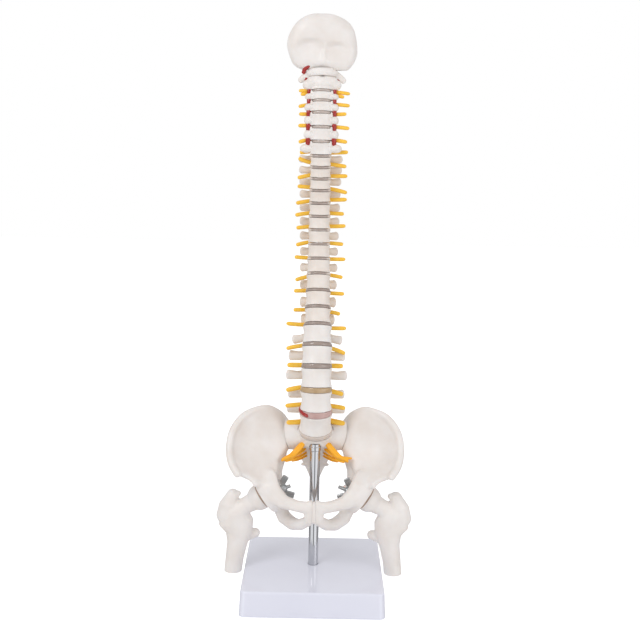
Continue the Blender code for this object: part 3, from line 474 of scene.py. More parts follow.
def at(keys, number):
    """The value of a list of (number, value) pairs at this number."""
    if number <= keys[0][0]:
        return keys[0][1]
    for (low, first), (high, second) in zip(keys, keys[1:]):
        if number <= high:
            return first + (second - first) * (number - low) / (high - low)
    return keys[-1][1]


def mean_lean(number):
    """Lean of a vertebra, or of the sacrum for number -1."""
    if number < 0:
        return SACRAL_LEAN
    rise = LEVELS[number + 1] - LEVELS[number]
    return math.degrees(math.atan2(-rise.y, rise.z))


def up_way(lean):
    return Vector((0, -math.sin(math.radians(lean)), math.cos(math.radians(lean))))


def back_way(lean):
    return Vector((0, math.cos(math.radians(lean)), math.sin(math.radians(lean))))


def disc_faces(level):
    """Lean of a disc's lower and upper face."""
    above = mean_lean(level) if level < len(NAMES) else LEANS[level]
    bend = WEDGE_SHARE * (mean_lean(level - 1) - above) / 2
    return LEANS[level] + bend, LEANS[level] - bend


def body_ring(level, over, scale, count, gap):
    """Ring on a disc's upper side (over = 1) or lower side (over = -1)."""
    lean = disc_faces(level)[0 if over < 0 else 1]
    number = min(level, len(NAMES) - 2) if over > 0 else max(level - 1, 0)
    centre = LEVELS[level] + up_way(lean) * (over * (at(DISC, level) / 2 + gap))
    wide = at(HALF_WIDTH, number) * scale
    deep = at(HALF_DEPTH, number) * scale
    return ellipse(centre, Vector((1, 0, 0)), back_way(lean), wide, deep, count)


def joint_block(s, side, low):
    """A block on the outer (1) or inner (-1) side of the flat joint between sacrum and hip bone."""
    way = Vector((s, 0.30, -0.197)).normalized()
    back = Vector((-way.y * s, way.x * s, 0)).normalized()
    up = way.cross(back) * s
    thick = 0.040
    middle = mm(s * 25.2, 8, 136) + way * (side * thick / 2 + (JOINT_SEAM if side < 0 else 0))
    middle += back * 0.009 + up * ((JOINT_HIGH + low) / 2 - 0.136)
    turn = Matrix((way, back, up)).transposed().to_4x4()
    return box_tool(middle, (thick, 0.070, JOINT_HIGH - low), turn)


def cone_of(ring, travel):
    """A closed prism from a ring of points and the way it travels."""
    return from_rings("tool", [ring, [p + travel for p in ring]])


SACRUM_OPEN = 0.09
lean = disc_faces(0)[0]
top = LEVELS[0] - up_way(lean) * (at(DISC, 0) / 2 + GAP)
down, back = -up_way(lean), back_way(lean)
ivory = bmesh.new()
add_limb(ivory, [
    (top + down * 0.0065, 0.0155, 0.0080), (mm(0, 14, 117), 0.0170, 0.0072),
    (mm(0, 20, 107), 0.0142, 0.0055), (mm(0, 22, 98), 0.0098, 0.0042),
    (mm(0, 20, 90), 0.0056, 0.0030), (mm(0, 16.5, 85.0), 0.0032, 0.0022),
], count=32)
for s in (-1, 1):
    add_bone(ivory, s, ((5, 10.5, 122.5, 10.0, 7.4), (16, 11, 123.5, 11.2, 7.8), (29, 13.5, 125, 12.8, 8.2)),
             side=(0, 0, 1), count=32)
    add_limb(ivory, [
        (top + back * 0.0120 + Vector((s * 0.0088, 0, 0)) + down * 0.010, 0.0030, 0.0026),
        (top + back * 0.0155 + Vector((s * 0.0088, 0, 0)) - down * 0.0010, 0.0022, 0.0018),
    ])
    # The side lobes of the coccyx and of the lowest sacral piece.
    add_bone(ivory, s, ((4, 20.5, 97, 2.2, 1.8), (10.5, 19, 97.5, 1.2, 1.2)))
add_bone(ivory, 1, ((0, 19, 126, 2.0, 4.0), (0, 26, 112, 1.8, 3.0), (0, 25, 99, 1.4, 2.0)))
sacrum = fused("sacrum_casting", ivory, 0.0006, 6)
combine(sacrum, cone_of(ellipse(top, Vector((1, 0, 0)), back, 0.0150, 0.0118, 48), -down * 0.014))
pocket = ellipse(top + back * 0.0180 + down * 0.009, Vector((1, 0, 0)), back, 0.0074, 0.0080, 32)
combine(sacrum, cone_of(pocket, -down * 0.030))
combine(sacrum, cone_of(body_ring(0, -1, 1.0, 48, GAP), down * 0.008), "UNION")
# The rod's hole and its collar's start in the open below the casting.
for high, radius in ((ROD_HIGH.z + GAP, ROD_RADIUS + GAP), (COLLAR_HIGH + GAP, COLLAR_RADIUS + GAP)):
    bore(sacrum, (0, 0, SACRUM_OPEN), (0, 0, 1), ((0, radius), (high - SACRUM_OPEN, radius)), 40)
for s in (-1, 1):
    combine(sacrum, joint_block(s, 1, 0.110))
seat_piece(sacrum, pvc, "stand", "bone_pvc", "sacrum", sharp=50)

# Sacral nerves
# Dipped soft PVC, the nerves' yellow painted a deeper orange-yellow here as painted shade: four roots a side
# run together into one flat trunk.
# Painted shade: the sacral nerves get a deeper orange copy of the nerves' yellow.
nerve_shaded_orange = two_tone("dipped_pvc_shaded_orange", "#F9A80C", "#FDBA2C", 180.0, 2.0,
                      {"Roughness": 0.38, "IOR": 1.5, **see_through(0.10, (0.0010, 0.0006, 0.0002))})

for s, label in SIDES:
    trunk = bmesh.new()
    for strand in (
        ((9.0, 3.0, 120.5, 1.9), (12.5, 0.5, 117.0, 2.3), (17, -2.5, 112.5, 2.1), (25.5, -5.5, 109.3, 1.3)),
        ((11.5, 2.0, 120, 1.3), (15.0, -0.5, 116.2, 1.5), (19.5, -3.0, 112, 1.4), (24.5, -5.5, 110, 1.0)),
        ((8.0, 6.5, 115, 1.3), (12.5, 2.5, 112.0, 1.5), (18.5, -1.5, 109.6, 1.4), (26, -5.0, 108.2, 1.1)),
        ((7.5, 10, 110, 1.2), (12, 4.5, 108.6, 1.3), (17, 0.0, 107.6, 1.2), (23, -4.0, 107.2, 0.9)),
        ((7.0, 12, 107, 1.0), (10.5, 8.5, 106.0, 1.0), (14, 4.5, 105.6, 0.9), (18, 1.0, 105.8, 0.7)),
    ):
        add_bone(trunk, s, [(x, y, z, r, r * 0.8) for x, y, z, r in strand])
    if s > 0:  # the right trunk's end is frayed into two
        add_bone(trunk, s, ((19, -2, 110.5, 1.6, 1.4), (28.5, -5, 111, 1.1, 1.0)))
    fan = fused(f"sacral_nerves_{label}", trunk, 0.00035, 3)
    seat_piece(fan, nerve_shaded_orange, "stand", "bone_pvc")


def smooth_step(value):
    t = min(max(value, 0.0), 1.0)
    return t * t * (3 - 2 * t)


# Hip bones
# Each half of the pelvis is one casting: the curved wing, the socket for the femur's head, and the
# ring of pubis and ischium round the opening below. Same cast PVC as the sacrum.
HIP_PLACE = {s: Vector((s * 0.0430, -0.0090, 0.0790)) for s in (-1, 1)}
HIP_LEAN = 22
RIM_LEAN = 34
RIM_INWARD = 0.0046
RIM_TRIM = (0.020, 0.040, 0.0278)  # the block that trims the rim: outwards, in depth and along the rim
RIM_TRIM_SHIFT = 0.0011
NUT_ROOM = 0.0118
BRIM_SHIFT = {-1: 3.6, 1: 1.2}  # mm that the edge of the inlet stands further in on each side
HEAD_RADIUS = 0.0104
SOCKET_PLAY = 0.0008
SOCKET_WALL = 0.0048
BOLT_RADIUS = 0.0015
SYMPHYSIS_THICK = 0.0024
CURVE_STEPS = 5
ACROSS, DEEP, UPRIGHT = (1, 0, 0), (0, 1, 0), (0, 0, 1)


def hip_axis(s):
    """The way of the hip bolt, outwards and down."""
    lean = math.radians(HIP_LEAN)
    return Vector((s * math.cos(lean), 0, -math.sin(lean)))


def rim_way(s):
    """The way that a socket's mouth faces."""
    lean = math.radians(RIM_LEAN)
    return Vector((s * math.cos(lean), 0, -math.sin(lean)))


def add_sheet(bm, rows, thick):
    """A curved plate: a net of points, smoothed and given a thickness."""
    net = bmesh.new()
    grid = [[net.verts.new(p) for p in row] for row in rows]
    for low, high in zip(grid, grid[1:]):
        for i in range(len(low) - 1):
            net.faces.new((low[i], low[i + 1], high[i + 1], high[i]))
    plate = link_mesh("plate", net)
    smooth = plate.modifiers.new("round", "SUBSURF")
    smooth.levels = smooth.render_levels = 3
    wall = plate.modifiers.new("wall", "SOLIDIFY")
    wall.thickness = thick
    wall.offset = 0
    bake(plate)
    bm.from_mesh(plate.data)
    bpy.data.objects.remove(plate, do_unlink=True)


def smooth_line(points):
    """A line of closer points that runs smoothly through the given ones."""
    ends = [points[0] * 2 - points[1], *points, points[-1] * 2 - points[-2]]
    line = []
    for a, b, c, d in zip(ends, ends[1:], ends[2:], ends[3:]):
        for step in range(CURVE_STEPS):
            t = step / CURVE_STEPS
            line.append(b + (c - a) * (t / 2) + (a * 2 - b * 5 + c * 4 - d) * (t * t / 2)
                        + (b * 3 - a - c * 3 + d) * (t ** 3 / 2))
    return line + [points[-1]]


def melt(obj, centre, reach, passes):
    """Eases the skin about one place until no ridge shows where two shapes meet."""
    group = obj.vertex_groups.new(name="melt")
    for v in obj.data.vertices:
        share = smooth_step(1.6 * (1 - (v.co - centre).length / reach))
        if share > 0:
            group.add([v.index], share, "REPLACE")
    ease = obj.modifiers.new("melt", "SMOOTH")
    ease.factor = 0.5
    ease.iterations = passes
    ease.vertex_group = "melt"
    bake(obj)
    obj.vertex_groups.clear()


def hip_bone(s, name):
    crest = ((18, 33, 119), (24, 26, 132), (30.5, 17, 142), (41, 9, 147.8), (55.5, 1, 143.5),
             (64.5, -6, 133.5), (67, -13, 121.5), (65, -21, 111), (59.5, -28, 104))
    belly = ((19, 30, 118), (22, 20, 128), (27.5, 9, 130), (36, 8, 130), (46, 6, 125), (53, 1, 119),
             (57, -6, 112.5), (56, -14, 106), (53, -24, 100))
    inward = BRIM_SHIFT[s]
    brim = ((19, 26, 110), (22, 15, 111), (26.5, 5, 113), (30.5, 0, 107), (33.5 - inward * 0.7, -5, 101),
            (35.5 - inward, -10, 98), (38 - inward * 0.9, -14, 96), (42 - inward * 0.5, -19, 95),
            (46, -24, 95))
    flip = [smooth_line([mm(s * x, y, z) for x, y, z in row]) for row in (crest, belly, brim)]
    centre, way = HIP_PLACE[s], hip_axis(s)
    bm = bmesh.new()
    add_sheet(bm, flip, 0.0042)
    lip = [0.0022 + 0.0009 * smooth_step((abs(p.x) - 0.044) / 0.012) for p in flip[0]]
    add_limb(bm, [(p, r, r) for p, r in zip(flip[0], lip)])
    add_limb(bm, [(p, 0.0024, 0.0030) for p in flip[2][2 * CURVE_STEPS:]])
    add_round(bm, centre, way, ((-0.0180, 0.0090), (-0.0150, 0.0130), (-0.0105, 0.0150), (-0.0065, 0.0149),
                                (-0.0030, 0.0134), (0.0010, 0.0122)), 40)
    for side, rows in (
        # From the joint with the sacrum down to the socket.
        (ACROSS, ((26, 18, 133, 3.0, 4.0), (25.5, 13, 126, 4.0, 6.0), (25.5, 9, 115, 4.5, 6.0),
                  (29, 5, 106, 4.5, 6.0))),
        (ACROSS, ((27, 19, 130, 4.2, 5.0), (21, 29, 122, 5.0, 6.0))),
        # The upper branch of the pubis, from the brim to the middle.
        (DEEP, ((41 - inward * 0.5, -12, 101.5, 1.8, 8.0), (40 - inward * 0.5, -15, 97, 3.4, 9.8),
                (37, -19, 91.5, 5.2, 9.8), (31.5, -20, 85, 5.8, 8.0), (23, -23, 80, 5.2, 5.4),
                (13, -25, 77.8, 4.4, 4.6), (4, -25.5, 76.5, 3.8, 5.2))),
        (ACROSS, ((27, 8, 108, 4.2, 6.0), (31, 6, 98, 5.2, 7.0), (32, 1, 86, 6.0, 8.0))),
        (ACROSS, ((2, -25.5, 79, 5.0, 4.0), (3, -25, 69, 5.0, 3.6))),
        # The lower branch, and the ischium behind the opening.
        (DEEP, ((3, -24.5, 66.4, 3.8, 4.2), (10.5, -18, 60, 3.6, 4.9), (18, -9, 57.6, 5.2, 6.0))),
        (DEEP, ((32, -4, 78, 6.6, 6.4), (27, -4, 68, 6.0, 5.6), (24, -5, 61, 6.0, 6.0),
                (17, -8, 57, 5.6, 5.4))),
        (ACROSS, ((30, 6, 86, 3.0, 3.0), (23, 12, 80, 1.6, 1.8))),
    ):
        add_bone(bm, s, rows, side=side)
    hip = fused(name, bm, 0.0007, 18)
    melt(hip, mm(s * 42, -12, 103), 0.021, 90)
    melt(hip, mm(s * 29, 4, 112), 0.016, 50)
    melt(hip, mm(s * 23, -6, 58), 0.018, 60)
    play = HEAD_RADIUS + SOCKET_PLAY
    mouth = bmesh.new()
    add_ball(mouth, centre, (play, play, play), 48)
    combine(hip, closed("tool", mouth))
    bore(hip, centre, way, ((0, play * 0.97), (0.02, play * 0.97)), 48)
    # The mouth's rim is trimmed flat, with its plane turned further down than the bolt.
    out = rim_way(s)
    deep = Vector(DEEP)
    tilt = Matrix((out, deep, out.cross(deep))).transposed().to_4x4()
    along = Vector((-out.z * s, 0, out.x * s))
    middle = centre - Vector((s * RIM_INWARD, 0, 0)) + out * (RIM_TRIM[0] / 2) + along * RIM_TRIM_SHIFT
    combine(hip, box_tool(middle, RIM_TRIM, tilt))
    bore(hip, centre, -way, ((0, BOLT_RADIUS + GAP), (0.03, BOLT_RADIUS + GAP)), 24)
    # Room for the wing nut, from its seat inwards.
    seat = HEAD_RADIUS + SOCKET_WALL
    bore(hip, centre, -way, ((seat, 0.0048), (seat + 0.0075, NUT_ROOM), (seat + 0.016, NUT_ROOM)), 40)
    sides = sorted((s * (SYMPHYSIS_THICK / 2 + GAP), -s * 0.012))
    combine(hip, box_tool((sum(sides) / 2, -0.02, 0.07), (sides[1] - sides[0], 0.08, 0.06)))
    combine(hip, joint_block(s, -1, 0.104))
    return hip


for s, label in SIDES:
    hip = hip_bone(s, f"hip_casting_{label}")
    seat_piece(hip, pvc, "stand", "bone_pvc", f"hip_bone_{label}", sharp=55)

# Symphysis
# A thin pad of softer PVC between the pubic bones.
pad_soft = pvc_material("soft_pvc_pad")
PAD_HALF_WIDE = SYMPHYSIS_THICK / 2 + GAP * 0.8
PAD_HALF_DEEP = 0.0037
PAD_TOP, PAD_FOOT = mm(0, -25.4, 78.2), mm(0, -24.8, 67.4)  # the middles of its round ends


def pad_ring(x, share):
    """The pad's outline, long and round at both ends, like the bones' faces beside it."""
    points = []
    for end, first in ((PAD_TOP, 0), (PAD_FOOT, 180)):
        for k in range(17):
            a = math.radians(first + 180 * k / 16)
            reach = PAD_HALF_DEEP * share
            points.append(end + Vector((x, reach * math.cos(a), reach * math.sin(a))))
    return points


pad = from_rings("symphysis_pad", [pad_ring(PAD_HALF_WIDE * x, share)
                                   for x, share in ((-1, 0.96), (-0.8, 1.0), (0.8, 1.0), (1, 0.96))])
seat_piece(pad, pad_soft, "stand", "cartilage", "pubic_symphysis")


# Femurs
# Solid castings of the upper thigh bone: head, neck, the hooked greater trochanter and the lesser one.
# The shaft is sawn off square below them. Same cast PVC.
# Painted shade: a thin brown band on each femur along the socket's rim, for the shadow in the gap between
# them.
GAP_SHADE_REACH = 0.0270
FEMUR_GAP_SHADE = (-0.0050, 0.0023)  # inwards and outwards of the socket's rim


def overlay(made, share, colour):
    """Covers a material's own colour where the share is one."""
    shader = made.node_tree.nodes["Principled BSDF"]
    plain = shader.inputs["Base Color"].links[0].from_socket
    plug(made.node_tree, shader, {"Base Color": colours(made.node_tree, share, plain, linear(colour))})


def pvc_with_gap_shade(s, name):
    """The same PVC with a thin brown band of painted shade where the femur enters the socket's mouth,
    standing in for the shadow in the gap.
    """
    made = pvc_material(name)
    tree = made.node_tree
    out = rim_way(s)
    middle = HIP_PLACE[s] - Vector((s * RIM_INWARD, 0, 0)) + out * (sum(FEMUR_GAP_SHADE) / 2)
    half = (FEMUR_GAP_SHADE[1] - FEMUR_GAP_SHADE[0]) / 2
    spots = add_node(tree, "TexCoord").outputs["Object"]
    local = add_node(tree, "VectorMath", {0: spots, 1: tuple(middle)}, operation="SUBTRACT")
    height = add_node(tree, "VectorMath", {0: local, 1: tuple(out)}, operation="DOT_PRODUCT").outputs["Value"]
    thin = ramped(tree, maths(tree, "ABSOLUTE", height), half - 0.0003, half, 1.0, 0.0)
    away = add_node(tree, "VectorMath", {0: local}, operation="LENGTH").outputs["Value"]
    near = maths(tree, "LESS_THAN", away, GAP_SHADE_REACH)
    # Painted shade: the gap's shadow laid on as a brown band.
    overlay(made, maths(tree, "MULTIPLY", thin, near), "#A8917F")
    return made


def femur(s, name):
    centre = HIP_PLACE[s]
    bm = bmesh.new()
    add_ball(bm, centre, (HEAD_RADIUS, HEAD_RADIUS, HEAD_RADIUS), 48)
    for side, rows in (
        # The neck, the greater trochanter with its hook, the shaft and the lesser trochanter.
        (DEEP, ((47, -9, 76, 7.8, 7.8), (54, -9, 72, 6.6, 6.8), (62, -9, 66, 8.5, 8.5))),
        (ACROSS, ((68, -8, 63, 10.0, 8.2), (67.5, -8, 72, 8.2, 7.6), (65, -7, 79.5, 5.2, 5.6))),
        (DEEP, ((65, -7, 79, 5.0, 4.4), (60.5, -7.5, 81, 3.0, 2.4))),
        (ACROSS, ((62.5, -9, 66, 11.0, 8.5), (62, -9, 58, 14.2, 8.3), (59.5, -9, 50, 10.8, 7.8),
                  (61, -9, 40, 8.2, 7.3), (63, -9, 28, 7.3, 7.0), (64.7, -9, 13, 7.0, 6.8))),
        (UPRIGHT, ((54, -7, 47, 6.0, 5.0), (46.5, -5, 47.5, 3.8, 3.6))),
    ):
        add_bone(bm, s, rows, side=side)
    bone = fused(name, bm, 0.0006, 8)
    combine(bone, box_tool(mm(s * 66, -7.5, 9.5), mm(32, 35, 15)))
    bore(bone, centre, hip_axis(s), ((-0.02, BOLT_RADIUS + GAP), (0.0053, BOLT_RADIUS + GAP)), 24)
    return bone


for s, label in SIDES:
    look = pvc_with_gap_shade(s, f"cast_pvc_femur_gap_shade_{label}")
    seat_piece(femur(s, f"femur_casting_{label}"), look, f"femur_{label}_body", "bone_pvc",
               f"femur_{label}", sharp=50)


# Hip bolts and wing nuts
# M3 steel bolts, cast in the femur's head, and zinc die-cast wing nuts on their free ends.
# Bright zinc plate: grey and slightly rough, finely speckled lighter and darker.
BOLT_REACH = 0.0258
BOLT_GRIP = 0.0050
THREAD_PITCH = 0.0005
THREAD_DEPTH = 0.00014
THREAD_LENGTH = 0.0110
THREAD_STEPS = 6  # rings in each turn
BOLT_SIDES = 24
NUT_RADIUS = 0.0032
NUT_BACK_OFF = {-1: 0.0030, 1: 0.0003}  # how far each nut is unscrewed
NUT_HEIGHT = 0.0042
NUT_WING_ROOT = 0.0042
NUT_WING_REACH = 0.0072
NUT_WING_THICK = 0.0022
NUT_WING_WIDE = 0.0050
NUT_WING_LEAN = 38
# Along a wing from the nut's middle: share of the arm, share of the wing, and shares of half its width
# and thickness. Then its eight corners, and a rib's half width and half thickness.
NUT_WING_STATIONS = ((0, 0, 0.45, 1.0), (0.5, 0, 0.50, 1.0), (0.9, 0.03, 0.66, 0.96), (1, 0.14, 0.94, 0.92),
                     (1, 0.3, 1.0, 0.90), (1, 0.85, 1.0, 0.88), (1, 0.96, 0.94, 0.8), (1, 1, 0.80, 0.6))
NUT_WING_CORNERS = ((-1, -0.7), (-0.86, -1), (0.86, -1), (1, -0.7),
                    (1, 0.7), (0.86, 1), (-0.86, 1), (-1, 0.7))
RIB_COUNT = 3
RIB_HALVES = (0.00042, 0.00056)

zinc = two_tone("zinc_plated_steel", "#9A9C9D", "#D2D4D5", 1500.0, 4.0,
                {"Metallic": 1.0, "Roughness": 0.34}, (0.35, 0.0003))


def threaded_bolt(s, name):
    centre, way = HIP_PLACE[s], hip_axis(s)
    side = Vector(DEEP)
    other = way.cross(side)
    rings = []
    steps = int(THREAD_LENGTH / THREAD_PITCH * THREAD_STEPS)
    for i in range(steps + 1):
        along = -BOLT_REACH + THREAD_LENGTH * i / steps
        ring = []
        for k in range(BOLT_SIDES):
            a = 2 * math.pi * k / BOLT_SIDES
            wave = math.cos(2 * math.pi * (along / THREAD_PITCH) - a)
            radius = BOLT_RADIUS - THREAD_DEPTH * (0.5 + 0.5 * wave) - 0.0001 * max(0, 3 - i)
            ring.append(centre + way * along + side * (radius * math.cos(a)) + other * (radius * math.sin(a)))
        rings.append(ring)
    plain = BOLT_RADIUS * 0.98
    for along in (-BOLT_REACH + THREAD_LENGTH + 0.0003, BOLT_GRIP):
        rings.append(ellipse(centre + way * along, side, other, plain, plain, BOLT_SIDES))
    return from_rings(name, rings)


def wing_nut(s, name):
    way = -hip_axis(s)
    foot = HIP_PLACE[s] + way * (HEAD_RADIUS + SOCKET_WALL + NUT_BACK_OFF[s])
    depth = Vector(DEEP)
    upright = way.cross(depth)
    bm = bmesh.new()
    add_round(bm, foot, way, [(along, NUT_RADIUS * share) for along, share in (
        (0, 0.94), (0.0003, 1), (NUT_HEIGHT * 0.6, 0.97), (NUT_HEIGHT - 0.0003, 0.82),
        (NUT_HEIGHT, 0.76))], 40)
    nut = closed(name, bm)
    lean = math.radians(NUT_WING_LEAN)
    root = foot + way * (NUT_HEIGHT * 0.45)
    for side in (-1, 1):
        along = way * math.cos(lean) + upright * (side * math.sin(lean))
        across = upright * math.cos(lean) - way * (side * math.sin(lean))
        knee = root + upright * (side * NUT_WING_ROOT)
        rings = []
        for arm, reach, half, thin in NUT_WING_STATIONS:
            middle = root.lerp(knee, arm) + along * (NUT_WING_REACH * reach)
            tall = across * (NUT_WING_WIDE / 2 * half)
            thick = depth * (NUT_WING_THICK / 2 * thin)
            rings.append([middle + tall * u + thick * v for u, v in NUT_WING_CORNERS])
        combine(nut, from_rings("tool", rings), "UNION")
        for face in (-1, 1):
            for rib in range(RIB_COUNT):
                shift = knee + across * ((rib - (RIB_COUNT - 1) / 2) * NUT_WING_WIDE * 0.29)
                shift += depth * (face * NUT_WING_THICK / 2 * 0.90)
                bar = bmesh.new()
                add_limb(bar, [(shift + along * (NUT_WING_REACH * end), *RIB_HALVES) for end in (0.22, 0.90)],
                         side=across, count=10)
                combine(nut, closed("tool", bar), "UNION")
    bore(nut, foot, way, ((-0.002, BOLT_RADIUS + GAP / 2), (0.010, BOLT_RADIUS + GAP / 2)), 24)
    return nut


for s, label in SIDES:
    seat_piece(threaded_bolt(s, f"bolt_{label}"), zinc, f"femur_{label}_body", "zinc_plate",
               f"hip_bolt_{label}")
    seat_piece(wing_nut(s, f"wing_nut_cast_{label}"), zinc, f"wing_nut_{label}_body", "zinc_plate",
               f"wing_nut_{label}", sharp=35)


# Vertebrae
# Twenty-four castings threaded on a bendable core: a drum at the front, and behind it the arch with
# its side wings, joint knobs and the spine to the back. Same cast PVC, with the thoracic ones painted a
# little darker and warmer as painted shade.
AXIS = NAMES.index("C2")
ATLAS = NAMES.index("C1")
FIRST_CERVICAL = NAMES.index("C7")
FIRST_THORACIC = NAMES.index("T12")
CANAL = ((0, 0.0040), (5, 0.0034), (12, 0.0031), (17, 0.0036), (22, 0.0038))
WING_REACH = (
    (0, 0.0240), (1, 0.0232), (2, 0.0250), (3, 0.0232), (4, 0.0207), (5, 0.0140), (6, 0.0150),
    (9, 0.0158), (14, 0.0170), (16, 0.0178), (17, 0.0165), (18, 0.0137), (21, 0.0132), (22, 0.0152),
)
WING_BACK = ((0, 0.001), (4, 0.001), (5, 0.003), (10, 0.0045), (16, 0.004))
WING_RISE = ((0, 0.0010), (3, 0.0010), (4, -0.0022), (5, 0.0), (10, 0.0008), (16, 0.0))
WING_HALF_HEIGHT = (
    (0, 0.0038), (3, 0.0042), (4, 0.0038), (5, 0.0046), (6, 0.0044), (8, 0.0036), (16, 0.0031),
)
SPINE_REACH = (
    (0, 0.0100), (3, 0.0125), (5, 0.0120), (8, 0.0125), (12, 0.0140), (16, 0.0135), (17, 0.0125),
    (18, 0.0090), (21, 0.0065), (22, 0.0085),
)
SPINE_DROP = ((0, 6), (4, 8), (6, 22), (9, 42), (12, 52), (15, 40), (17, 24), (22, 18))
SPINE_HALF_HEIGHT = (
    (0, 0.0030), (1, 0.0034), (4, 0.0036), (6, 0.0024), (9, 0.0018), (17, 0.0017), (22, 0.0020),
)
SPINE_HALF_THICK = 0.0014
WAIST = 0.90
END_SHARE = 0.985
LOBE_SHARE = ((17, 0.60), (18, 0.66), (19, 0.62), (20, 0.70), (21, 0.62), (22, 0.70))
DENS_RADIUS = 0.0020
DENS_HEIGHT = 0.0034
DRUM_SIDES = 64


class Place:
    """Local directions of one vertebra: out to a side, back and up, from the middle of its body."""

    def __init__(self, number, centre):
        self.centre = centre
        self.up = up_way(mean_lean(number))
        self.back = back_way(mean_lean(number))

    def point(self, out, back, up):
        return self.centre + Vector((out, 0, 0)) + self.back * back + self.up * up

    def limb(self, bm, s, rows, **settings):
        """A limb through (out, back, up, half width, half thickness) rows, mirrored for the left side."""
        add_limb(bm, [(self.point(s * row[0], *row[1:3]), *row[3:]) for row in rows], **settings)


def add_drum(bm, number):
    """The vertebral body, with raised rims and a waist, and flat ends that match its discs."""
    low = body_ring(number, 1, 1.0, DRUM_SIDES, GAP)
    high = body_ring(number + 1, -1, 1.0, DRUM_SIDES, GAP)
    rings = []
    for share in (0, 0.05, 0.14, 0.26, 0.38, 0.5, 0.62, 0.74, 0.86, 0.95, 1):
        ring = [a.lerp(b, share) for a, b in zip(low, high)]
        core = sum(ring, Vector()) / DRUM_SIDES
        edge = min(share, 1 - share)
        pull = WAIST + (1 - WAIST) * max(0.0, 1 - edge / 0.42) ** 1.6
        if edge == 0:
            pull = END_SHARE
        rings.append([core + (p - core) * pull for p in ring])
    add_rings(bm, rings)
    return sum(low + high, Vector()) / (2 * DRUM_SIDES)


def add_arch(bm, number, place):
    """Pedicles, laminae and processes behind one vertebral body."""
    wide, deep = at(HALF_WIDTH, number), at(HALF_DEPTH, number)
    disc = at(DISC, number)
    half = ((LEVELS[number + 1] - LEVELS[number]).length - disc) / 2
    canal = at(CANAL, number)
    middle = deep + canal * 0.85
    unit = 0.001 * min(wide / 0.009, 1.25)
    thoracic = number >= FIRST_THORACIC
    lamina = half * (0.60 if thoracic else 0.42)
    hook = half + disc * (0.9 if thoracic else -0.4)
    peak = half + disc * (0.8 if thoracic else 0.2)
    reach = at(WING_REACH, number)
    for s in (-1, 1):
        place.limb(bm, s, (
            (wide * 0.6, deep * 0.6, half * 0.35, 1.7 * unit, half * 0.42),
            (canal + 1.7 * unit, middle, half * 0.3, 1.6 * unit, half * 0.42)))
        place.limb(bm, s, (
            (canal + 1.7 * unit, middle, half * 0.25, lamina, 1.4 * unit),
            (canal + 0.9 * unit, middle + (canal + unit) * 0.7, 0, lamina, 1.4 * unit),
            (0, middle + canal + 1.6 * unit, -half * 0.25, lamina, 1.4 * unit)), side=place.up)
        if number >= FIRST_CERVICAL:
            # A neck vertebra's side lobe, in front of the hole for the artery.
            tall = half * at(LOBE_SHARE, number) + 0.0007
            out = (wide + reach) * 0.45
            add_ball(bm, place.point(s * out, deep * 0.10, -half * 0.05), (reach - out, 0.0038, tall))
            place.limb(bm, s, (
                (wide * 0.7, deep * 0.10, -half * 0.02, tall * 0.95, 0.0036),
                (wide * 0.5 + reach * 0.42, deep * 0.10, -half * 0.05, tall * 0.85, 0.0036)), side=place.up)
            if number < AXIS:
                # The lip at each side of the upper face, which hides the disc's ends.
                place.limb(bm, s, (
                    (wide * 0.88, -deep * 0.15, half * 0.5, 0.0012, deep * 0.55),
                    (wide * 0.89, -deep * 0.15, half + disc * 0.30, 0.0009, deep * 0.50)))
        else:
            tall = at(WING_HALF_HEIGHT, number)
            thick = 0.0022 if thoracic else 0.0018
            tip = reach - 0.0015 - thick * 0.4
            back = middle + at(WING_BACK, number)
            rise = at(WING_RISE, number)
            place.limb(bm, s, (
                (canal + unit, middle + 0.6 * unit, half * 0.2, tall * 0.9, thick),
                (tip * 0.7, (middle + back) / 2, rise * 0.6, tall * 0.86, thick * 0.92),
                (tip, back, rise, tall, thick)), side=place.up)
        place.limb(bm, s, (
            (canal + 2.9 * unit, middle + 2.4 * unit, 0, 1.5 * unit, 1.5 * unit),
            (canal + 2.9 * unit, middle + 2.4 * unit, peak, 1.4 * unit, 1.3 * unit)))
        place.limb(bm, s, (
            (canal + 0.5 * unit, middle + 4.2 * unit, 0, 1.5 * unit, 1.4 * unit),
            (canal + 0.3 * unit, middle + 5.4 * unit, -hook, 1.3 * unit, 1.2 * unit)))
    drop = math.radians(at(SPINE_DROP, number))
    reach = at(SPINE_REACH, number)
    root = middle + canal + 1.2 * unit
    foot = -half * 0.2
    tall = at(SPINE_HALF_HEIGHT, number)
    place.limb(bm, 1, (
        (0, root, foot, SPINE_HALF_THICK, tall),
        (0, root + reach * 0.5, foot - reach * 0.4 * math.tan(drop), SPINE_HALF_THICK * 0.85, tall),
        (0, root + reach * math.cos(drop), foot - reach * math.sin(drop), SPINE_HALF_THICK * 1.3, tall)))


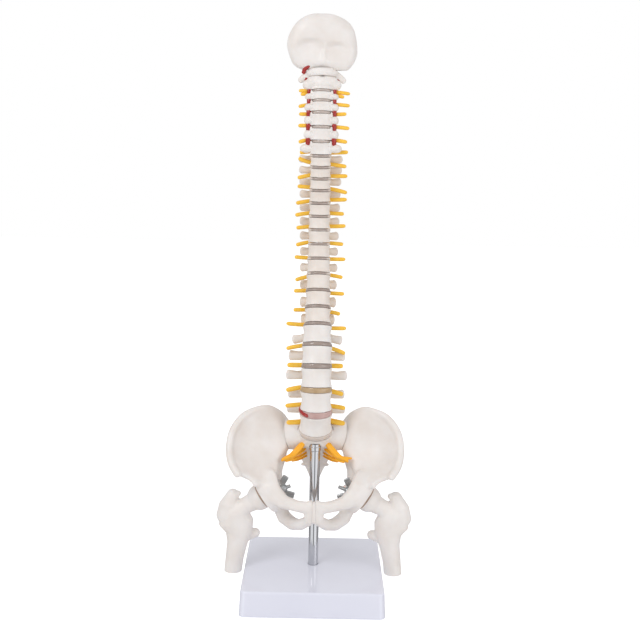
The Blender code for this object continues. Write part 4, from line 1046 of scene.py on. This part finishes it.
# Painted shade: a darker, warmer copy of the cast PVC for the thoracic vertebrae.
shaded_thoracic_pvc = pvc_material("cast_pvc_shaded_thoracic", "#EAE1D9", "#E1D5CA")
places = {}
for number in range(ATLAS):
    casting = bmesh.new()
    middle = add_drum(casting, number)
    place = places[number] = Place(number, middle)
    add_arch(casting, number, place)
    if number == AXIS:
        half = (LEVELS[number + 1] - LEVELS[number]).length / 2
        place.limb(casting, 1, ((0, -0.0008, 0, 0.0026, 0.0026),
                                (0, -0.0008, half + DENS_HEIGHT, DENS_RADIUS, DENS_RADIUS)))
        # Sloping shoulders under the atlas, and the smooth swelling that runs up into the dens.
        for s in (-1, 1):
            place.limb(casting, s, (
                (0.0030, -0.0012, half * 0.62, 0.0042, 0.0040),
                (0.0082, -0.0006, half * 0.22, 0.0048, 0.0042),
                (0.0098, 0.0002, -half * 0.15, 0.0040, 0.0038)))
        add_ball(casting, place.point(0, -0.0018, half * 0.10), (0.0075, 0.0050, half * 0.95))
    bone = fused(f"casting_{NAMES[number]}", casting, 0.00042, 3)
    look = shaded_thoracic_pvc if FIRST_THORACIC <= number < FIRST_CERVICAL else pvc
    seat_piece(bone, look, BODIES[number], "bone_pvc", f"vertebra_{NAMES[number]}")

# The atlas is a ring round the dens, with long drooping wings.
casting = bmesh.new()
place = places[ATLAS] = Place(ATLAS, (LEVELS[ATLAS] + LEVELS[ATLAS + 1]) / 2)
for s in (-1, 1):
    add_ball(casting, place.point(s * 0.0084, -0.0002, 0.0004), (0.0040, 0.0044, 0.0030))
    place.limb(casting, s, (
        (0.0090, 0.0004, 0.0002, 0.0032, 0.0022), (0.0132, 0.0014, -0.0022, 0.0030, 0.0020),
        (0.0168, 0.0020, -0.0048, 0.0024, 0.0018)), side=place.up)
for reach, tall, thick in ((-0.0058, 0.0030, 0.0019), (0.0122, 0.0017, 0.0014)):
    turns = [math.pi * step / 16 for step in range(17)]
    place.limb(casting, 1, [(0.0088 * math.cos(a), reach * math.sin(a), 0.0006, tall, thick) for a in turns],
               side=place.up)
atlas = fused("casting_C1", casting, 0.0004, 4)
seat_piece(atlas, pvc, BODIES[ATLAS], "bone_pvc", "vertebra_C1")


# Occipital bone
# The back of the skull as one thick casting. Its inner side faces the front: two shallow bowls, with
# a crest down the middle between them. Same cast PVC.
SKULL_SIZE = 0.0270
# The outline seen from the front: (angle from the right, anticlockwise; distance as a share of the size).
SKULL_OUTLINE = (
    (0, 0.974), (13, 0.963), (25, 0.960), (37, 0.942), (59, 0.865), (92, 0.808), (124, 0.895), (143, 0.943),
    (156, 0.963), (167, 0.993), (178, 1.026), (187, 1.033), (198, 1.015), (208, 1.030), (217, 1.040),
    (229, 0.978), (250, 0.815), (272, 0.745), (286, 0.83), (299, 0.960), (311, 1.037), (318, 1.056),
    (332, 1.056), (343, 1.044), (352, 1.004), (360, 0.974),
)
SKULL_HALF_DEPTH = 0.0098
SKULL_RISE = 0.0205
SKULL_BACK = 0.0015
SKULL_FACE = 0.0080  # how far the flattened inner side stands in front of the middle
# Each bowl: out, up, half width and half height from the middle of the plate.
BOWLS = ((-0.0086, -0.0062, 0.0108, 0.0092), (0.0106, -0.0078, 0.0096, 0.0084))
BOWL_DEPTH = 0.0030
CREST_PLACE = 0.0014


def skull_edge(angle):
    """Distance from the middle to the plate's edge, eased between the outline's points."""
    turned = math.degrees(angle) % 360
    return SKULL_SIZE * sum(at(SKULL_OUTLINE, (turned + shift) % 360) for shift in (-5, -2, 0, 2, 5)) / 5


def skull_depth(x, z, share):
    """How far the inner side stands out at a point, with its bowls pressed in."""
    rim = max(0.0, 1 - share ** 2.6) ** 0.5
    press = 0.0
    for out, high, wide, tall in BOWLS:
        u, v = (x - out) / wide, (z - high) / tall
        reach = math.hypot(u, v if v > 0 else v * 0.52)
        press = max(press, 1 - smooth_step((reach - 0.62) / (0.40 + 0.30 * abs(u))))
    crest = math.exp(-(((x - CREST_PLACE) / 0.0017) ** 2)) * smooth_step((-0.004 - z) / 0.006)
    # The bowls are deepest under their upper arcs and run out flat below.
    fade = 0.35 + 0.65 * smooth_step((z + 0.019) / 0.016)
    return SKULL_FACE * min(1.0, rim * 1.25) - BOWL_DEPTH * press * fade * (1 - 0.75 * crest)


skull = bmesh.new()
turn = 96
layers = 26
front_rows, back_rows = [], []
for layer in range(1, layers + 1):
    share = math.sin(math.pi / 2 * layer / layers)
    rows = ([], [])
    for k in range(turn):
        a = 2 * math.pi * k / turn
        r = skull_edge(a) * share
        x, z = r * math.cos(a), r * math.sin(a)
        bulge = SKULL_HALF_DEPTH * max(0.0, 1 - share ** 2.3) ** 0.5
        rows[0].append(skull.verts.new((x, -skull_depth(x, z, share), z)))
        rows[1].append(skull.verts.new((x, bulge, z)) if layer < layers else rows[0][-1])
    front_rows.append(rows[0])
    back_rows.append(rows[1])
for rows, flip in ((front_rows, False), (back_rows, True)):
    middle = skull.verts.new((0, SKULL_HALF_DEPTH if flip else -skull_depth(0, 0, 0), 0))
    for k in range(turn):
        j = (k + 1) % turn
        skull.faces.new((middle, rows[0][k], rows[0][j]) if not flip else (middle, rows[0][j], rows[0][k]))
        for low, high in zip(rows, rows[1:]):
            quad = (low[k], high[k], high[j], low[j])
            skull.faces.new(quad if not flip else quad[::-1])
for s in (-1, 1):
    add_limb(skull, [
        (Vector((s * 0.0070, 0, -0.012)), 0.0030, 0.0040),
        (Vector((s * 0.0068, 0, -SKULL_RISE + 0.0030)), 0.0026, 0.0034),
    ])
foot = LEVELS[-1]
occiput = fused("skull_casting", skull, 0.0006, 8)
occiput.data.transform(Matrix.Translation(foot + Vector((0, SKULL_BACK, SKULL_RISE))))
combine(occiput, box_tool(foot + Vector((0, 0, -0.01 + GAP / 2)), (0.06, 0.06, 0.02)))
seat_piece(occiput, pvc, "occipital", "bone_pvc", "occipital_bone")


# Nerve stubs and arteries
# Soft PVC cords, dipped yellow or red, glued into the vertebrae: a nerve a side at each level, and
# short red lengths that show between the wings of the neck.
def cord_tree():
    """Geometry nodes: a round cord with a bend and a domed end, in the given material."""
    tree = bpy.data.node_groups.new("soft_cord", "GeometryNodeTree")
    for name, kind in (("Root", "Vector"), ("Bend", "Vector"), ("Tip", "Vector"), ("Radius", "Float"),
                       ("Root share", "Float"), ("Material", "Material")):
        tree.interface.new_socket(name, in_out="INPUT", socket_type=f"NodeSocket{kind}")
    tree.interface.new_socket("Geometry", in_out="OUTPUT", socket_type="NodeSocketGeometry")
    given = add_node(tree, "NodeGroupInput").outputs
    line = add_node(tree, "GeometryNodeCurveQuadraticBezier",
                    {"Resolution": 48, "Start": given["Root"], "Middle": given["Bend"], "End": given["Tip"]})
    along = add_node(tree, "GeometryNodeSplineParameter").outputs["Factor"]
    left = maths(tree, "SUBTRACT", 1.0002, maths(tree, "POWER", along, 22.0))
    dome = maths(tree, "POWER", left, 0.5)
    slim = ramped(tree, along, 0.0, 1.0, given["Root share"], 1.0)
    radius = maths(tree, "MULTIPLY", maths(tree, "MULTIPLY", dome, slim), given["Radius"])
    sized = add_node(tree, "GeometryNodeSetCurveRadius", {"Curve": line, "Radius": radius})
    ring = add_node(tree, "GeometryNodeCurvePrimitiveCircle", {"Resolution": 16, "Radius": 1.0})
    tube = add_node(tree, "GeometryNodeCurveToMesh",
                    {"Curve": sized, "Profile Curve": ring, "Fill Caps": True})
    if "Scale" in tube.inputs:
        plug(tree, tube, {"Scale": radius})
    whole = add_node(tree, "GeometryNodeRealizeInstances", {0: tube})
    painted = add_node(tree, "GeometryNodeSetMaterial", {"Geometry": whole, "Material": given["Material"]})
    add_node(tree, "NodeGroupOutput", {0: painted})
    return tree


CORD = cord_tree()


def soft_cord(name, path, radius, look, body, slot="bone_pvc", root_share=1.0):
    """One cord through a root, a bend and a tip, made by the node tree, turned to a mesh and seated."""
    holder = bpy.data.objects.new(name, bpy.data.meshes.new(name))
    scene.collection.objects.link(holder)
    step = holder.modifiers.new("cord", "NODES")
    step.node_group = CORD
    values = dict(zip(("Root", "Bend", "Tip"), path))
    values.update({"Radius": radius, "Root share": root_share, "Material": look})
    for socket in CORD.interface.items_tree:
        if socket.in_out == "INPUT":
            step[socket.identifier] = values[socket.name]
    bake(holder)
    bm = bmesh.new()
    bm.from_mesh(holder.data)
    bmesh.ops.remove_doubles(bm, verts=bm.verts, dist=0.000002)
    bmesh.ops.recalc_face_normals(bm, faces=bm.faces)
    bm.to_mesh(holder.data)
    bm.free()
    seat_piece(holder, look, body, slot)


nerve_yellow = two_tone("dipped_pvc_yellow", "#FABF2C", "#FFD055", 260.0, 2.0,
                        {"Roughness": 0.34, "IOR": 1.5, **see_through(0.12, (0.0010, 0.0007, 0.0002))})
artery_red = two_tone("dipped_pvc_red", "#8E0F0D", "#B3221A", 300.0, 2.0,
                      {"Roughness": 0.25, "IOR": 1.5, "Coat Weight": 0.4, "Coat Roughness": 0.1})

NERVE_RADIUS = ((0, 0.0023), (1, 0.0018), (3, 0.0020), (4, 0.0017), (8, 0.0016), (17, 0.0016), (22, 0.0014))
NERVE_FORWARD = 0.0014
# For each level upwards from the sacrum, in mm above the middle of the disc: left root, left tip,
# right root, right tip, and how far out the left and right tips reach.
NERVES_MM = (
    (4.3, 3.9, 5.8, 3.8, 23.5, 23.5), (2.9, 1.4, 2.2, 0.3, 24.5, 23.5), (-0.8, -3.8, -3.5, -6.5, 24, 21.5),
    (-1.4, -1.3, -1.5, -1.4, 23.5, 21), (-1.9, -4.9, -3.5, -8.3, 24.5, 22.5),
    (-1.9, -0.8, -4.1, -3.9, 25, 23),
    (-3.1, -3.3, -4.2, -6.2, 19.5, 18), (-1.1, -1.3, -2.7, -3.1, 19.5, 21),
    (-2.8, -6.1, -1.3, -3.3, 18.5, 19.5),
    (-0.3, 0.5, -0.9, -0.7, 19.5, 21.5), (0.9, -1.9, 0.3, -0.6, 18.5, 19.5), (1.8, 0.6, 2.2, 2.9, 18.5, 21),
    (2.0, -0.2, 1.9, 1.5, 19.5, 19.5), (1.1, -1.1, 2.0, 2.6, 19, 21.5), (1.6, 2.4, 1.0, -2.3, 18, 21.5),
    (2.2, -0.4, 1.6, 1.8, 18, 21.5), (2.5, 6.3, 2.0, 0.2, 17.5, 20.5), (3.2, 1.7, 2.2, 2.9, 16.5, 21.5),
    (1.6, -1.0, 1.5, -0.3, 17.5, 20.5), (1.1, 0.9, 0.7, -0.6, 18, 22), (-0.9, -1.0, -0.9, -0.3, 17.5, 19.5),
    (-2.0, -4.1, -1.6, -2.8, 18, 22), (0.6, 0.4, 0.3, -1.4, 18, 22),
)
# The second nerve of a pair that leaves the same gap: level, side, root, tip and reach in mm.
EXTRA_NERVES_MM = ((22, -1, -1.4, -2.4, 16.5), (22, 1, -2.2, -4.0, 17.5))
stubs = [(level, s, *(row[0:2] + row[4:5] if s < 0 else row[2:4] + row[5:6]))
         for level, row in enumerate(NERVES_MM) for s in (-1, 1)]
for level, s, low, high, reach in stubs + list(EXTRA_NERVES_MM):
    wide, deep = at(HALF_WIDTH, level), at(HALF_DEPTH, level)
    centre = LEVELS[level]
    rear = deep * 0.6 if level == 0 else deep - NERVE_FORWARD
    front = rear - (0.0030 if level > FIRST_CERVICAL else 0)  # the neck's nerves pass in front of its wings
    root = centre + Vector((s * wide * 0.40, deep + 0.0005, 0.001 * low))
    leave = centre + Vector((s * (wide + 0.0012), front, 0.001 * low))
    tip = centre + Vector((s * 0.001 * reach, front, 0.001 * high))
    label = ("left" if s < 0 else "right") + ("" if (level, s, low, high, reach) in stubs else "_second")
    soft_cord(f"nerve_{NAMES[level]}_{label}", (root, leave, tip), at(NERVE_RADIUS, level), nerve_yellow,
              BODIES[level])

# The two arteries of the neck show as short red lengths in the gaps between the side lobes.
ARTERY_OUT = 0.0097
ARTERY_RADIUS = 0.0016
ARTERY_WIDENS = ((18, 0.0021), (20, 0.0019), (21, 0.0017), (22, 0.0016))
ARTERY_HALF = 0.0032
for level in range(FIRST_CERVICAL + 1, AXIS + 1):
    for s, label in SIDES:
        middle = LEVELS[level] + Vector((s * ARTERY_OUT, at(HALF_DEPTH, level) * 0.10, 0))
        reach = up_way(LEANS[level]) * ARTERY_HALF
        bow = Vector((s * 0.0004, -0.0012, 0))
        soft_cord(f"artery_{NAMES[level]}_{label}", (middle - reach, middle + bow, middle + reach),
                  at(ARTERY_WIDENS, level), artery_red, BODIES[level])
# Above the axis they swing out round the atlas, and the left one shows over its wing.
atlas_place, axis_place = places[ATLAS], places[AXIS]
for name, place, radius, points, body in (
    ("artery_atlas_left", atlas_place, ARTERY_RADIUS,
     ((-0.0145, 0.0006, 0.0006), (-0.0140, -0.0020, 0.0036), (-0.0094, -0.0026, 0.0062)), ATLAS),
    ("artery_axis_left", axis_place, ARTERY_RADIUS * 0.95,
     ((-0.0122, 0.0014, 0.0026), (-0.0126, 0.0004, 0.0044), (-0.0120, 0.0014, 0.0064)), AXIS),
    ("artery_axis_right", axis_place, ARTERY_RADIUS * 0.90,
     ((0.0122, 0.0018, 0.0016), (0.0126, 0.0008, 0.0034), (0.0122, 0.0018, 0.0054)), AXIS),
):
    soft_cord(name, [place.point(*p) for p in points], radius, artery_red, BODIES[body])

# The slipped disc between the two lowest lumbar vertebrae: a red swelling at its left edge.
SLIP_LEVEL = 1
bulge = []
for turned, scale, lift in ((152, 0.96, 0.0012), (196, 1.17, 0.0012), (243, 0.98, -0.0006)):
    a = math.radians(turned)
    bulge.append(LEVELS[SLIP_LEVEL] + Vector((at(HALF_WIDTH, SLIP_LEVEL) * math.cos(a) * scale, 0, lift))
                 + back_way(LEANS[SLIP_LEVEL]) * (at(HALF_DEPTH, SLIP_LEVEL) * math.sin(a) * scale))
soft_cord("slipped_disc", bulge, 0.0015, artery_red, BODIES[SLIP_LEVEL], "disc_rubber", 1.30)


# Discs
# Soft rubber rings between the vertebrae, poured in a grey-brown that lets a little light through.
# From below, the first is pale, the second pink with a red bulge at its left, and the third yellowish.
def rubber(name, light, dark, middle_half=None):
    """Soft rubber in two close tones; given half a width, it is painted paler further out to both sides, a
    painted highlight where the glossy ring turns away.
    """
    made = two_tone(name, light, dark, 220.0, 3.0, {
        "Roughness": 0.16, "IOR": 1.5, "Coat Weight": 0.6, "Coat Roughness": 0.08,
        **see_through(0.2, PVC_DEPTH)}, (0.1, 0.0003))
    if middle_half:
        tree = made.node_tree
        apart = add_node(tree, "SeparateXYZ", {0: add_node(tree, "TexCoord").outputs["Object"]})
        pale = ramped(tree, maths(tree, "ABSOLUTE", apart), middle_half, middle_half + 0.0014)
        # Painted highlight: the ring's sides made paler, as glossy sheen.
        overlay(made, pale, "#D6C9BE")
    return made


grey_rubber = rubber("poured_rubber_grey", "#AB9B91", "#92827A")
yellow_rubber = rubber("poured_rubber_yellow", "#C6AA84", "#AE916B")
brown_rubber = rubber("poured_rubber_brown", "#DDD1C8", "#CFC1B6")
pink_rubber = rubber("poured_rubber_pink", "#CDACA6", "#B8948E")
pale_rubber = rubber("poured_rubber_pale", "#C8BBB3", "#B4A69D")
# The thoracic discs carry a painted highlight on both sides.
sheen_edged_rubber = rubber("poured_rubber_sheen_edged", "#B3A49B", "#9A8A81", 0.0056)
DISC_LOOKS = {0: brown_rubber, 1: pink_rubber, 2: yellow_rubber}
DISC_LOOKS.update({level: sheen_edged_rubber for level in range(FIRST_THORACIC + 3, FIRST_CERVICAL + 1)})
DISC_LOOKS.update({level: pale_rubber for level in range(FIRST_CERVICAL + 1, len(NAMES))})
DISC_SIDES = 64
NECK_DISC_SHARE = 0.84  # the neck's discs end inside the lips of the bone below


DISC_PROFILE = ((0, 0.95), (0.08, 0.975), (0.3, 0.99), (0.5, 0.995), (0.7, 0.99), (0.92, 0.975), (1, 0.95))
for level in range(len(NAMES) - 1):
    low = body_ring(level, -1, 1.0, DISC_SIDES, 0)
    high = body_ring(level, 1, 1.0, DISC_SIDES, 0)
    rings = []
    for share, scale in DISC_PROFILE:
        ring = [a.lerp(b, share) for a, b in zip(low, high)]
        core = sum(ring, Vector()) / DISC_SIDES
        wide = scale * (NECK_DISC_SHARE if level > FIRST_CERVICAL else 1)
        rings.append([core + Vector(((p - core).x * wide, *((p - core) * scale).yz)) for p in ring])
    below = NAMES[level - 1] if level else "S1"
    disc = from_rings(f"disc_ring_{below}_{NAMES[level]}", rings)
    disc.data.materials.append(DISC_LOOKS.get(level, grey_rubber))
    disc.data.shade_smooth()
    disc.data.set_sharp_from_angle(angle=math.radians(50))
    half = at(DISC, level) / 2
    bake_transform(disc)
    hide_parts(f"disc_{below}_{NAMES[level]}")
